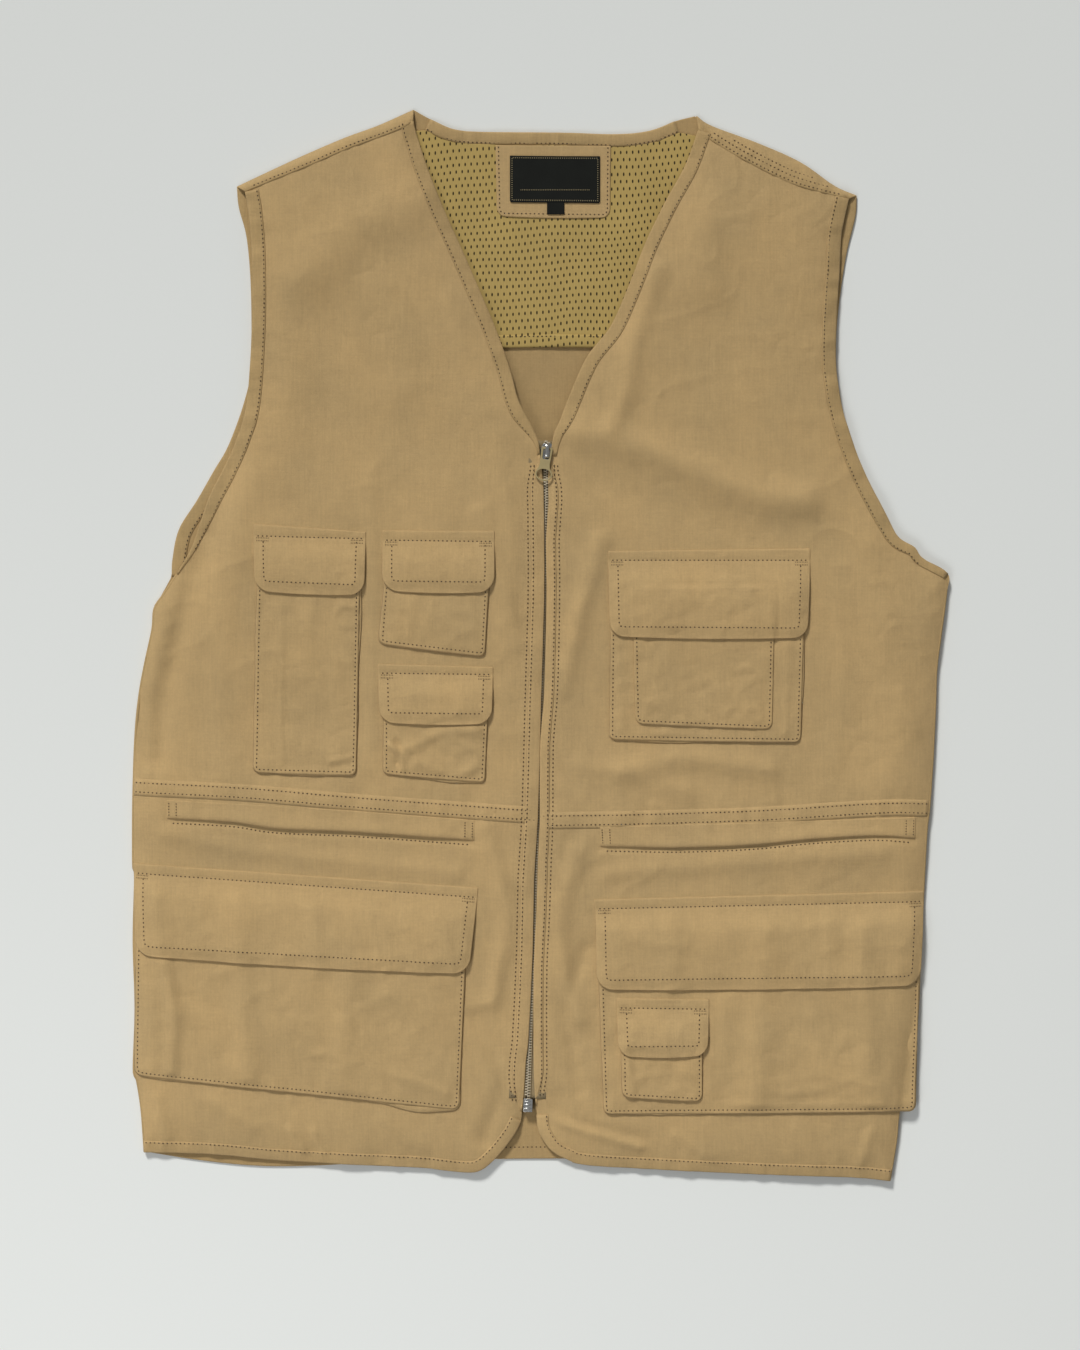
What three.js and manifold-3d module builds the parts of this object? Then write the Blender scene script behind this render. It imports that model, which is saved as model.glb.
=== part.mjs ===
// A zip-front fishing vest laid flat, front up. Millimetres.
// +X is the viewer's right, +Y runs to the collar, +Z is up from the surface it lies on.
// Pieces are named for the wearer's sides: right_ is at -X and left_ is at +X.
// The origin is the centre of the outline on the surface below.
import * as THREE from 'three';
import { mergeVertices } from 'three/addons/utils/BufferGeometryUtils.js';
import Module from 'manifold-3d';

// ---- driving dimensions -------------------------------------------------
const GAP = 0.3; // between neighbours
const CURVE_STEPS = 3; // straight steps between two points of a smooth edge
const OVERRUN = 6; // how far a cutting strip runs past the piece it cuts

const BINDING_WIDTH = 9;
const ARM_BINDING_WIDTH = 10;
const SIDE_SEAM_WIDTH = 1.6;
const PLACKET_EDGE = 2; // from the zip line to the edge of each front
const TAPE_WIDTH = 14;
const CHAIN_WIDTH = 2;
const POCKET_WALL = 0.9;

// Heights of the layers, lowest and highest.
const BACK = [0, 1];
const LINING = [1.3, 2];
const NECK_BAND = [1.3, 2.6];
const PATCH = [2.3, 2.9];
const LABEL = [3.2, 3.8];
const SIDE = [1.3, 7.5];
const SHOULDER = [1.3, 8.9];
const CHAIN = [4, 6.4];
const TAPE = [4.9, 5.5];
const POUCH = [7, 7.6];
const FRONT = [7.9, 8.9];
const POCKET_BASE = 9.2;
const POCKET_DEPTH = 5; // outside height of a pocket
const POCKET_PLY = 0.7;
const PAD = 0.5; // thickness of a hook or loop pad
const FLAP_PLY = 0.8;

// ---- materials ----------------------------------------------------------
function finish(color, roughness, metalness) {
  return () => new THREE.MeshStandardMaterial({ color, roughness, metalness });
}
const shellCloth = finish(0xa68a63, 0.9, 0);
const meshCloth = finish(0xa38c4d, 0.9, 0);
const labelCloth = finish(0x1c1c1e, 0.8, 0);
const tapeCloth = finish(0x8f7b58, 0.9, 0);
const padCloth = finish(0x9c8460, 0.95, 0);
const toothResin = finish(0x7d6a4c, 0.5, 0);
const paintedTan = finish(0xa08a63, 0.45, 0);
const nickel = finish(0xb9b7b2, 0.3, 1);

// ---- solids -------------------------------------------------------------
const wasm = await Module();
wasm.setup();

function solid(geometry) {
  geometry.deleteAttribute('normal');
  geometry.deleteAttribute('uv');
  const merged = mergeVertices(geometry, 1e-4);
  const vertProperties = new Float32Array(merged.attributes.position.array);
  const triVerts = new Uint32Array(merged.index.array);
  return new wasm.Manifold(new wasm.Mesh({ numProp: 3, vertProperties, triVerts }));
}

function geometryOf(manifold) {
  const mesh = manifold.getMesh();
  const geometry = new THREE.BufferGeometry();
  geometry.setAttribute('position', new THREE.BufferAttribute(new Float32Array(mesh.vertProperties), 3));
  geometry.setIndex(new THREE.BufferAttribute(new Uint32Array(mesh.triVerts), 1));
  return geometry;
}

function node(group, name, material, manifold) {
  const mesh = new THREE.Mesh(geometryOf(manifold), material());
  mesh.name = name;
  group.add(mesh);
  return mesh;
}

// An upright slab over a flat outline.
function slab(outline, [low, high]) {
  const shape = new THREE.Shape(outline.map(([x, y]) => new THREE.Vector2(x, y)));
  const geometry = new THREE.ExtrudeGeometry(shape, { depth: high - low, bevelEnabled: false });
  geometry.translate(0, 0, low);
  return solid(geometry);
}

// ---- plane curves -------------------------------------------------------
function smooth(points) {
  const curve = new THREE.SplineCurve(points.map(([x, y]) => new THREE.Vector2(x, y)));
  return curve.getPoints((points.length - 1) * CURVE_STEPS).map((p) => [p.x, p.y]);
}

function extended(points, amount) {
  const step = ([ax, ay], [bx, by]) => {
    const length = Math.hypot(ax - bx, ay - by);
    return [ax + ((ax - bx) * amount) / length, ay + ((ay - by) * amount) / length];
  };
  const last = points.length - 1;
  return [step(points[0], points[1]), ...points, step(points[last], points[last - 1])];
}

// The curve moved sideways, to the left of its direction when distance is positive.
function offset(points, distance) {
  return points.map(([x, y], i) => {
    const [ax, ay] = points[Math.max(i - 1, 0)];
    const [bx, by] = points[Math.min(i + 1, points.length - 1)];
    const length = Math.hypot(bx - ax, by - ay);
    return [x - ((by - ay) * distance) / length, y + ((bx - ax) * distance) / length];
  });
}

function strip(points, from, to) {
  return [...offset(points, from), ...offset(points, to).reverse()];
}

// ---- the zip line -------------------------------------------------------
const ZIP_TOP = new THREE.Vector2(5, 134.8); // centre of the slider when closed
const ZIP_BOTTOM = new THREE.Vector2(-9.1, -327.3);
const ZIP_LENGTH = ZIP_TOP.distanceTo(ZIP_BOTTOM);
const ZIP_TILT = Math.atan2(ZIP_TOP.x - ZIP_BOTTOM.x, ZIP_TOP.y - ZIP_BOTTOM.y);

// A point given along the zip (0 at the closed slider, positive upwards) and across it.
function onZip(across, along) {
  const cosine = Math.cos(ZIP_TILT);
  const sine = Math.sin(ZIP_TILT);
  return [ZIP_TOP.x + across * cosine + along * sine, ZIP_TOP.y - across * sine + along * cosine];
}

function zipBox(across, along, heights) {
  const [a0, a1] = across;
  const [b0, b1] = along;
  return slab([onZip(a0, b0), onZip(a1, b0), onZip(a1, b1), onZip(a0, b1)], heights);
}

// ---- edges of the garment -----------------------------------------------
// Every edge runs from its upper end to its lower end.
const rightNeckEdge = smooth([[-88, 366], [-79, 334], [-55, 276], [-31, 220], [-15, 171], [-6, 142]]);
const leftNeckEdge = smooth([[112, 364], [102, 336], [74, 281], [50, 223], [20, 171], [10, 142]]);
const rightShoulderSeam = [[-94, 364], [-158, 337], [-207, 317]];
const leftShoulderSeam = [[116, 356], [159, 330], [216, 311]];
const rightArmEdge = smooth([
  [-207, 317], [-202, 271], [-202, 226], [-206, 171], [-222, 124], [-244, 68], [-256, 50],
]);
const leftArmEdge = smooth([
  [216, 311], [210, 264], [207, 199], [211, 171], [227, 122], [251, 75], [286, 50],
]);
const rightBackArmEdge = smooth([
  [-213, 321], [-206, 285], [-203, 248], [-203, 196], [-218, 140], [-240, 101], [-257, 61], [-258, 48],
]);
const leftBackArmEdge = smooth([
  [222, 315], [215, 273], [209, 231], [209, 171], [227, 122], [251, 75], [286, 50],
]);
const rightSideEdge = smooth([[-257, 48], [-272, 11], [-284, -60], [-285.9, -130], [-285, -255], [-278, -356]]);
const leftSideEdge = smooth([[286, 50], [281, 6], [276, -82], [271, -134], [264, -237], [254, -330]]);
const rightHemEdge = smooth([[-278, -356], [-185, -361], [-53, -370], [-29, -358], [-13, -334]]);
const leftHemEdge = smooth([[246, -376], [157, -371], [34, -365], [10, -356], [-1, -336]]);
const backNeckEdge = smooth([[-88, 372], [-61, 362], [-13, 359], [54, 358], [94, 366], [112, 370]]);
const rightWaistSeam = [[-300, -95], [-205, -100], [-123, -107], [0, -117]];
const leftWaistSeam = [[-20, -120], [75, -119], [157, -116], [300, -112]];

const rightZipEdge = [onZip(-PLACKET_EDGE, 0), onZip(-PLACKET_EDGE, -468)];
const leftZipEdge = [onZip(PLACKET_EDGE, -468), onZip(PLACKET_EDGE, 0)];

const rightFrontOutline = [
  ...rightArmEdge, ...rightSideEdge.slice(1), ...rightHemEdge.slice(1, -1),
  ...[...rightZipEdge].reverse(), ...[...rightNeckEdge].reverse(), ...rightShoulderSeam.slice(0, -1),
];
const leftFrontOutline = [
  ...leftShoulderSeam.slice(0, -1), ...leftArmEdge, ...leftSideEdge.slice(1), ...leftHemEdge.slice(0, -1),
  ...leftZipEdge, ...[...leftNeckEdge].reverse(),
];

// ---- groups: one for each rigid body ------------------------------------
const vest = new THREE.Group();
const rightFront = new THREE.Group();
const leftFront = new THREE.Group();
vest.add(rightFront, leftFront);

// ---- back ---------------------------------------------------------------
const backOutline = [
  ...backNeckEdge, [154, 352], ...leftBackArmEdge, ...leftSideEdge.slice(1, -1), [254, -330], [251, -362],
  [-20, -364], [-268, -359], ...[...rightSideEdge].reverse().slice(1), ...[...rightBackArmEdge].reverse(),
  [-165, 344],
];
const backLine = (edge) => extended(edge, OVERRUN);
const rightArmStrip = strip(backLine(rightBackArmEdge), -OVERRUN, ARM_BINDING_WIDTH);
const leftArmStrip = strip(backLine(leftBackArmEdge), -ARM_BINDING_WIDTH, OVERRUN);
const neckStrip = strip(backLine(backNeckEdge), -BINDING_WIDTH, OVERRUN);

function wholeBack(heights) {
  return slab(backOutline, heights);
}

// Everything above the waist between the shoulder seams, as one band across the back.
const yokeZone = [
  [-320, 201], [320, 201], [320, 290], [222, 308], [159, 328.6], [114.6, 355], [108, 420],
  [-84, 420], [-93.8, 363.5], [-158, 336], [-207, 316], [-320, 290],
];

function yoke(heights) {
  return wholeBack(heights).intersect(slab(yokeZone, heights));
}

function clearStrip(edge, from, to, heights) {
  return slab(strip(backLine(edge), from, to), [heights[0] - 1, heights[1] + 1]);
}

node(vest, 'back_panel', shellCloth, wholeBack(BACK));
node(
  vest, 'mesh_lining', meshCloth,
  yoke(LINING)
    .subtract(clearStrip(rightBackArmEdge, -OVERRUN, ARM_BINDING_WIDTH + GAP, LINING))
    .subtract(clearStrip(leftBackArmEdge, -ARM_BINDING_WIDTH - GAP, OVERRUN, LINING))
    .subtract(clearStrip(backNeckEdge, -BINDING_WIDTH - GAP, OVERRUN, LINING)),
);
node(vest, 'back_neck_binding', shellCloth, yoke(NECK_BAND).intersect(slab(neckStrip, NECK_BAND)));

const armholeZone = [[-320, 64], [320, 64], [320, 290], [222, 305], [180, 318], [-180, 318], [-207, 310], [-320, 290]];
function backArmBinding(name, outline) {
  const zone = wholeBack(LINING).intersect(slab(armholeZone, LINING));
  node(vest, name, shellCloth, zone.intersect(slab(outline, LINING)));
}
backArmBinding('right_back_armhole_binding', rightArmStrip);
backArmBinding('left_back_armhole_binding', leftArmStrip);

node(vest, 'label_patch', shellCloth, slab([[-31, 349], [-31, 300], [49, 300], [49, 348]], PATCH));
node(vest, 'woven_label', labelCloth, slab([[-21, 343], [-21, 311], [42, 311], [42, 343]], LABEL));
node(vest, 'size_tab', labelCloth, slab([[5, 310], [5, 302], [17, 302], [17, 310]], LABEL));

const rightShoulderOutline = [
  [-92, 376], [-94.5, 364.6], [-158, 337.6], [-207, 317.6], [-213, 321], [-165, 344], [-114, 364],
];
const leftShoulderOutline = [
  [114, 368], [116.5, 357], [159.2, 330.6], [216, 311.6], [222, 315], [183, 338], [154, 352],
];
node(vest, 'right_shoulder_panel', shellCloth, slab(rightShoulderOutline, SHOULDER));
node(vest, 'left_shoulder_panel', shellCloth, slab(leftShoulderOutline, SHOULDER));
node(vest, 'right_side_seam', shellCloth, slab(strip(rightSideEdge, GAP, SIDE_SEAM_WIDTH), SIDE));
node(vest, 'left_side_seam', shellCloth, slab(strip(leftSideEdge, -SIDE_SEAM_WIDTH, -GAP), SIDE));

// ---- fronts -------------------------------------------------------------
function below(seam, drop) {
  const edge = seam.map(([x, y]) => [x, y - drop]);
  return [...edge, [edge[edge.length - 1][0], -500], [edge[0][0], -500]];
}

function front(group, side, outline, neckEdge, armEdge, waistSeam, inward) {
  const whole = slab(outline, FRONT);
  const range = (width) => (inward > 0 ? [-OVERRUN, width] : [-width, OVERRUN]);
  const bandOf = (edge, width) => {
    const [from, to] = range(width);
    return slab(strip(extended(edge, OVERRUN), from, to), [FRONT[0] - 1, FRONT[1] + 1]);
  };
  const neckRange = (width) => (inward > 0 ? [-width, OVERRUN] : [-OVERRUN, width]);
  const neckBand = (width) => {
    const [from, to] = neckRange(width);
    return slab(strip(neckEdge, from, to), [FRONT[0] - 1, FRONT[1] + 1]);
  };
  const body = whole
    .subtract(bandOf(armEdge, ARM_BINDING_WIDTH + GAP))
    .subtract(neckBand(BINDING_WIDTH + GAP));
  const tall = [FRONT[0] - 1, FRONT[1] + 1];
  node(group, `${side}_chest_panel`, shellCloth, body.subtract(slab(below(waistSeam, -GAP), tall)));
  node(group, `${side}_skirt_panel`, shellCloth, body.intersect(slab(below(waistSeam, GAP), tall)));
  node(group, `${side}_neck_binding`, shellCloth, whole.intersect(neckBand(BINDING_WIDTH)));
  node(group, `${side}_front_armhole_binding`, shellCloth, whole.intersect(bandOf(armEdge, ARM_BINDING_WIDTH)));
}
front(rightFront, 'right', rightFrontOutline, rightNeckEdge, rightArmEdge, rightWaistSeam, 1);
front(leftFront, 'left', leftFrontOutline, leftNeckEdge, leftArmEdge, leftWaistSeam, -1);

// ---- zip ----------------------------------------------------------------
const SLIDER_HALF = 6.5;
const BOX_LENGTH = 9;
const BOX_FLOOR = 2;
const CHAIN_TOP = 8; // above the closed slider's centre
const TAPE_LENGTH = ZIP_LENGTH + CHAIN_TOP - BOX_LENGTH - GAP;

function zipTape(sign) {
  const z = TAPE;
  const inner = CHAIN_WIDTH + 2 * GAP;
  const profile = [
    [inner, z[0]], [inner + 4, z[0]], [inner + 7, POUCH[0]], [TAPE_WIDTH, POUCH[0]],
    [TAPE_WIDTH, POUCH[1]], [inner + 6.6, POUCH[1]], [inner + 3.6, z[1]], [inner, z[1]],
  ];
  const shape = new THREE.Shape(profile.map(([x, height]) => new THREE.Vector2(sign * x, height)));
  const geometry = new THREE.ExtrudeGeometry(shape, { depth: TAPE_LENGTH, bevelEnabled: false });
  geometry.rotateX(Math.PI / 2);
  geometry.translate(0, CHAIN_TOP, 0);
  geometry.rotateZ(-ZIP_TILT);
  geometry.translate(ZIP_TOP.x, ZIP_TOP.y, 0);
  return solid(geometry);
}

function zipChain(from, to, bottom) {
  return zipBox([from, to], [-ZIP_LENGTH + bottom, CHAIN_TOP], CHAIN);
}

node(rightFront, 'right_zip_tape', tapeCloth, zipTape(-1));
node(leftFront, 'left_zip_tape', tapeCloth, zipTape(1));
node(rightFront, 'right_zip_chain', toothResin, zipChain(-GAP - CHAIN_WIDTH, -GAP, BOX_LENGTH + GAP));
node(leftFront, 'left_zip_chain', toothResin, zipChain(GAP, GAP + CHAIN_WIDTH, BOX_FLOOR + GAP));

const BOX_HEIGHTS = [CHAIN[0] - 1.2, CHAIN[1] + 1.2];
const PIN_BORE = [0, CHAIN_WIDTH + 2 * GAP];
const boxRange = [-ZIP_LENGTH, -ZIP_LENGTH + BOX_LENGTH];
node(
  rightFront, 'zip_box', nickel,
  zipBox([-2.6, 3.6], boxRange, BOX_HEIGHTS).subtract(
    zipBox(PIN_BORE, [-ZIP_LENGTH + BOX_FLOOR, -ZIP_LENGTH + BOX_LENGTH + OVERRUN], [CHAIN[0] - GAP, CHAIN[1] + GAP]),
  ),
);

// The slider: two plates joined by a bridge at its upper end, and a bail for the pull.
const SLIDER_PLATE = 0.8;
const SLIDER_HALF_WIDTH = 4.6;
const BRIDGE_HALF_WIDTH = 0.15;
const CHANNEL = [CHAIN[0] - GAP, CHAIN[1] + GAP];
const SLIDER_HEIGHTS = [CHANNEL[0] - SLIDER_PLATE, CHANNEL[1] + SLIDER_PLATE];
const BAIL_HALF_WIDTH = 1.2;
const BAIL_TOP = 11.8;
const PULL_ALONG = 2.5; // the pull's axis, above the slider's centre
const PULL_HEIGHT = 9.8;

function slider() {
  const past = SLIDER_HALF_WIDTH + 1;
  const plates = zipBox([-SLIDER_HALF_WIDTH, SLIDER_HALF_WIDTH], [-SLIDER_HALF, SLIDER_HALF], SLIDER_HEIGHTS);
  const channel = zipBox([-past, past], [-SLIDER_HALF - 1, SLIDER_HALF + 1], CHANNEL);
  const bridge = zipBox([-BRIDGE_HALF_WIDTH, BRIDGE_HALF_WIDTH], [4, SLIDER_HALF], SLIDER_HEIGHTS);
  const bail = zipBox([-BAIL_HALF_WIDTH, BAIL_HALF_WIDTH], [-4.5, 5.5], [SLIDER_HEIGHTS[1] - 0.2, BAIL_TOP]);
  const eye = zipBox([-past, past], [-3.3, 4.3], [SLIDER_HEIGHTS[1] + 0.6, BAIL_TOP - 0.8]);
  return plates.subtract(channel).add(bridge).add(bail.subtract(eye));
}
node(rightFront, 'slider_body', nickel, slider());

// The pull: a flat plate with a window round the bail at one end and a ring at the other.
const PULL_THICKNESS = 1;
const PULL_LENGTH = 23;
const PULL_LIP = 0.7; // past its own axis, short enough to clear the cloth as it turns
const PULL_LEAN = THREE.MathUtils.degToRad(-7);

function pull() {
  const shape = new THREE.Shape();
  shape.moveTo(-4, PULL_LIP);
  shape.lineTo(-4, -7);
  shape.lineTo(-3.4, -12);
  shape.absellipse(0, 4.1 - PULL_LENGTH, 5, 4.6, Math.PI * 0.83, Math.PI * 2.17, false);
  shape.lineTo(3.4, -12);
  shape.lineTo(4, -7);
  shape.lineTo(4, PULL_LIP);
  const windowHole = new THREE.Path();
  windowHole.moveTo(-2.3, -0.9);
  windowHole.lineTo(2.3, -0.9);
  windowHole.lineTo(2.3, -8);
  windowHole.lineTo(-2.3, -8);
  const ringHole = new THREE.Path();
  ringHole.absellipse(0, 4.1 - PULL_LENGTH, 3.6, 2.9, 0, Math.PI * 2, true);
  shape.holes.push(windowHole, ringHole);
  const geometry = new THREE.ExtrudeGeometry(shape, {
    depth: PULL_THICKNESS, bevelEnabled: false, curveSegments: 8,
  });
  geometry.translate(0, 0, PULL_HEIGHT - PULL_THICKNESS / 2);
  geometry.rotateZ(PULL_LEAN - ZIP_TILT);
  const [x, y] = onZip(0, PULL_ALONG);
  geometry.translate(x, y, 0);
  return solid(geometry);
}
node(rightFront, 'pull_tab', paintedTan, pull());

// ---- pockets ------------------------------------------------------------
// Corners run top left, top right, bottom right, bottom left. The mouth is at the top.
function pocket(group, name, corners, base) {
  const [tl, tr, br, bl] = corners;
  const w = POCKET_WALL;
  const inner = [
    [tl[0] + w, tl[1] + OVERRUN], [tr[0] - w, tr[1] + OVERRUN], [br[0] - w, br[1] + w], [bl[0] + w, bl[1] + w],
  ];
  const top = base + POCKET_DEPTH;
  const walls = slab(corners, [base, top]);
  node(group, name, shellCloth, walls.subtract(slab(inner, [base - 1, top - POCKET_PLY])));
}

// A flap turns on its upper edge. Its section rises from the panel to clear the pocket,
// and its outline has rounded lower corners.
function flap(group, name, corners, rise, section, corner) {
  const [tl, tr, br, bl] = corners;
  const shape = new THREE.Shape();
  shape.moveTo(tl[0], tl[1]);
  shape.lineTo(tr[0], tr[1]);
  shape.lineTo(br[0], br[1] + corner);
  shape.quadraticCurveTo(br[0], br[1], br[0] - corner, br[1] + ((bl[1] - br[1]) * corner) / (br[0] - bl[0]));
  shape.lineTo(bl[0] + corner, bl[1] + ((br[1] - bl[1]) * corner) / (br[0] - bl[0]));
  shape.quadraticCurveTo(bl[0], bl[1], bl[0], bl[1] + corner);
  const outline = shape.getPoints(3).map((p) => [p.x, p.y]);
  const [low, high] = [Math.min(br[1], bl[1]) - 1, Math.max(tl[1], tr[1])];
  const width = tr[0] - tl[0];
  const slope = (tr[1] - tl[1]) / width;
  const top = rise.map(([along, height]) => [along, height]);
  const under = rise.map(([along, height]) => [along, height - FLAP_PLY]).reverse();
  const profile = new THREE.Shape([...top, ...under].map(([along, height]) => new THREE.Vector2(along, height)));
  const geometry = new THREE.ExtrudeGeometry(profile, { depth: width + 20, bevelEnabled: false });
  // The section's own X runs down the flap, its own Y is height, and its depth lies along the hinge.
  const across = new THREE.Matrix4().makeBasis(
    new THREE.Vector3(0, -1, 0), new THREE.Vector3(0, 0, 1), new THREE.Vector3(-1, slope * -1, 0),
  );
  geometry.applyMatrix4(across);
  geometry.translate(tr[0] + 10, tr[1] + slope * 10, 0);
  node(group, name, shellCloth, solid(geometry).intersect(slab(outline, [section[0], section[1]])));
}

function pad(group, name, [left, right], [bottom, top], low) {
  const outline = [[left, top], [left, bottom], [right, bottom], [right, top]];
  node(group, name, padCloth, slab(outline, [low, low + PAD]));
}

// One pocket with its flap and its pair of pads.
// hinge: the two ends of the stitched upper edge; drop: how far the flap hangs below it.
function flapPocket(group, side) {
  const { name, body, hinge, foot, base = POCKET_BASE, over = 0, corner = 9, pads, padName, step = 8 } = side;
  const mouth = base + POCKET_DEPTH + over;
  const flapTop = mouth + 3 * GAP + 2 * PAD + FLAP_PLY;
  const rise = [[-2, base + FLAP_PLY], [1.2, base + FLAP_PLY], [step, flapTop], [220, flapTop]];
  if (body) pocket(group, name, body, base);
  flap(group, `${padName}_flap`, [...hinge, foot[1], foot[0]], rise, [base - 1, flapTop + 1], corner);
  pad(group, `${padName}_loop_pad`, pads[0], pads[1], mouth + GAP);
  pad(group, `${padName}_hook_pad`, pads[0], pads[1], mouth + 2 * GAP + PAD);
}

flapPocket(rightFront, {
  name: 'pen_pocket', padName: 'pen', hinge: [[-200, 76], [-122, 74]], foot: [[-199, 38], [-123, 35]],
  body: [[-197, 66], [-126, 64], [-129, -91], [-200, -89]], pads: [[-172, -150], [42, 58]],
});
flapPocket(rightFront, {
  name: 'upper_box_pocket', padName: 'upper_box', hinge: [[-110, 72], [-32, 72]], foot: [[-108, 37], [-33, 37]],
  body: [[-107, 62], [-35, 62], [-39, -8], [-112, 1]], pads: [[-82, -60], [41, 57]],
});
flapPocket(rightFront, {
  name: 'lower_box_pocket', padName: 'lower_box', hinge: [[-113, -20], [-33, -21]], foot: [[-112, -54], [-34, -55]],
  body: [[-109, -30], [-36, -31], [-39, -96], [-109, -90]], pads: [[-84, -62], [-51, -35]],
});
flapPocket(rightFront, {
  name: 'right_cargo_pocket', padName: 'right_cargo', hinge: [[-284, -160], [-44, -177]],
  foot: [[-282, -217], [-50, -230]], corner: 14,
  body: [[-282, -171], [-51, -186], [-57, -325], [-284, -301]], pads: [[-222, -112], [-216, -200]],
});

const PATCH_BASE = POCKET_BASE + POCKET_DEPTH + GAP;
flapPocket(leftFront, {
  name: 'chest_pocket', padName: 'chest', hinge: [[48, 59], [189, 59]], foot: [[49, 5], [187, 5]], corner: 12,
  body: [[50, 50], [185, 50], [182, -68], [49, -66]], over: POCKET_DEPTH + GAP, step: 15,
  pads: [[103, 127], [14, 30]],
});
pocket(leftFront, 'chest_patch_pocket', [[65, 39], [164, 39], [162, -59], [67, -55]], PATCH_BASE);
flapPocket(leftFront, {
  name: 'left_cargo_pocket', padName: 'left_cargo', hinge: [[39, -185], [269, -180]],
  foot: [[40, -241], [265, -238]], corner: 14,
  body: [[41, -195], [266, -190], [262, -326], [45, -328]], pads: [[100, 210], [-231, -215]],
});
flapPocket(leftFront, {
  name: 'key_pocket', padName: 'key', hinge: [[54, -254], [118, -255]], foot: [[55, -287], [117, -287]], corner: 8,
  body: [[57, -264], [113, -265], [113, -319], [58, -316]], base: PATCH_BASE, pads: [[76, 96], [-283, -270]],
});

// ---- slash pockets: a welt over the slit and a flat pouch behind the skirt panel ----
const WELT = [POCKET_BASE, POCKET_BASE + 0.8];
function slashPocket(group, side, welt, pouch) {
  node(group, `${side}_welt`, shellCloth, slab(welt, WELT));
  node(group, `${side}_slash_pouch`, shellCloth, slab(pouch, POUCH));
}
slashPocket(
  rightFront, 'right',
  [[-261, -108], [-46, -122], [-46, -137], [-130, -131], [-185, -128], [-261, -122]],
  [[-258, -118], [-50, -133], [-54, -300], [-254, -280]],
);
slashPocket(
  leftFront, 'left',
  [[42, -127], [150, -125], [263, -121], [262, -136], [190, -137], [95, -142], [42, -141]],
  [[48, -138], [256, -134], [250, -290], [52, -300]],
);

export default vest;
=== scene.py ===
"""A zip-front fishing vest, laid flat with its front up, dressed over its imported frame.

Sizes inside this file are in millimetres on the vest's own axes. +X is the viewer's right and
+Y runs to the collar. Pieces are named for the wearer's sides, so right_ pieces are at -X.
"""

import math

import bmesh
import bpy
import numpy as np
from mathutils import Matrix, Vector


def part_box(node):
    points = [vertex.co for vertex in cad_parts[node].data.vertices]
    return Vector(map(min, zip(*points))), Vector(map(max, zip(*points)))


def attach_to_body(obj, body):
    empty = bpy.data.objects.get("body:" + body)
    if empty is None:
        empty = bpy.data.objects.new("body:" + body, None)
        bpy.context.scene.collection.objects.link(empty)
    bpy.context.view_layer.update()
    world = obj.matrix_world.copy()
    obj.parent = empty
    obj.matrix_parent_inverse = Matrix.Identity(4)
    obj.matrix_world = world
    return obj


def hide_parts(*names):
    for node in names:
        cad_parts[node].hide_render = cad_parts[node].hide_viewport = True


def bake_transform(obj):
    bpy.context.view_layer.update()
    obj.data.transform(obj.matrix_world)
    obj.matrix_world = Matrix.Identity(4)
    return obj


bl_info = {
    "name": "Fishing Vest",
    "version": (1, 0, 0),
    "blender": (4, 5, 0),
    "location": "View3D > Sidebar > Vest",
    "description": "Sews a cotton fishing vest with pockets, flaps and a front zip around its frame",
    "category": "Add Mesh",
}

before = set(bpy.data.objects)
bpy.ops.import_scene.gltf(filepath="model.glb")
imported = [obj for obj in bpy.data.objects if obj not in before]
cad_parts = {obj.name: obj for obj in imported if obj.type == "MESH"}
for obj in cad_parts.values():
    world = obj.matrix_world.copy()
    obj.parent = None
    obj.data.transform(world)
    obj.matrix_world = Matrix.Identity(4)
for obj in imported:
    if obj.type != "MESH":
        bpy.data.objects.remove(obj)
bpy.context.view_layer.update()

MM = 0.001

# ---- pattern ------------------------------------------------------------
SIDES = ("right", "left")

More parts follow.
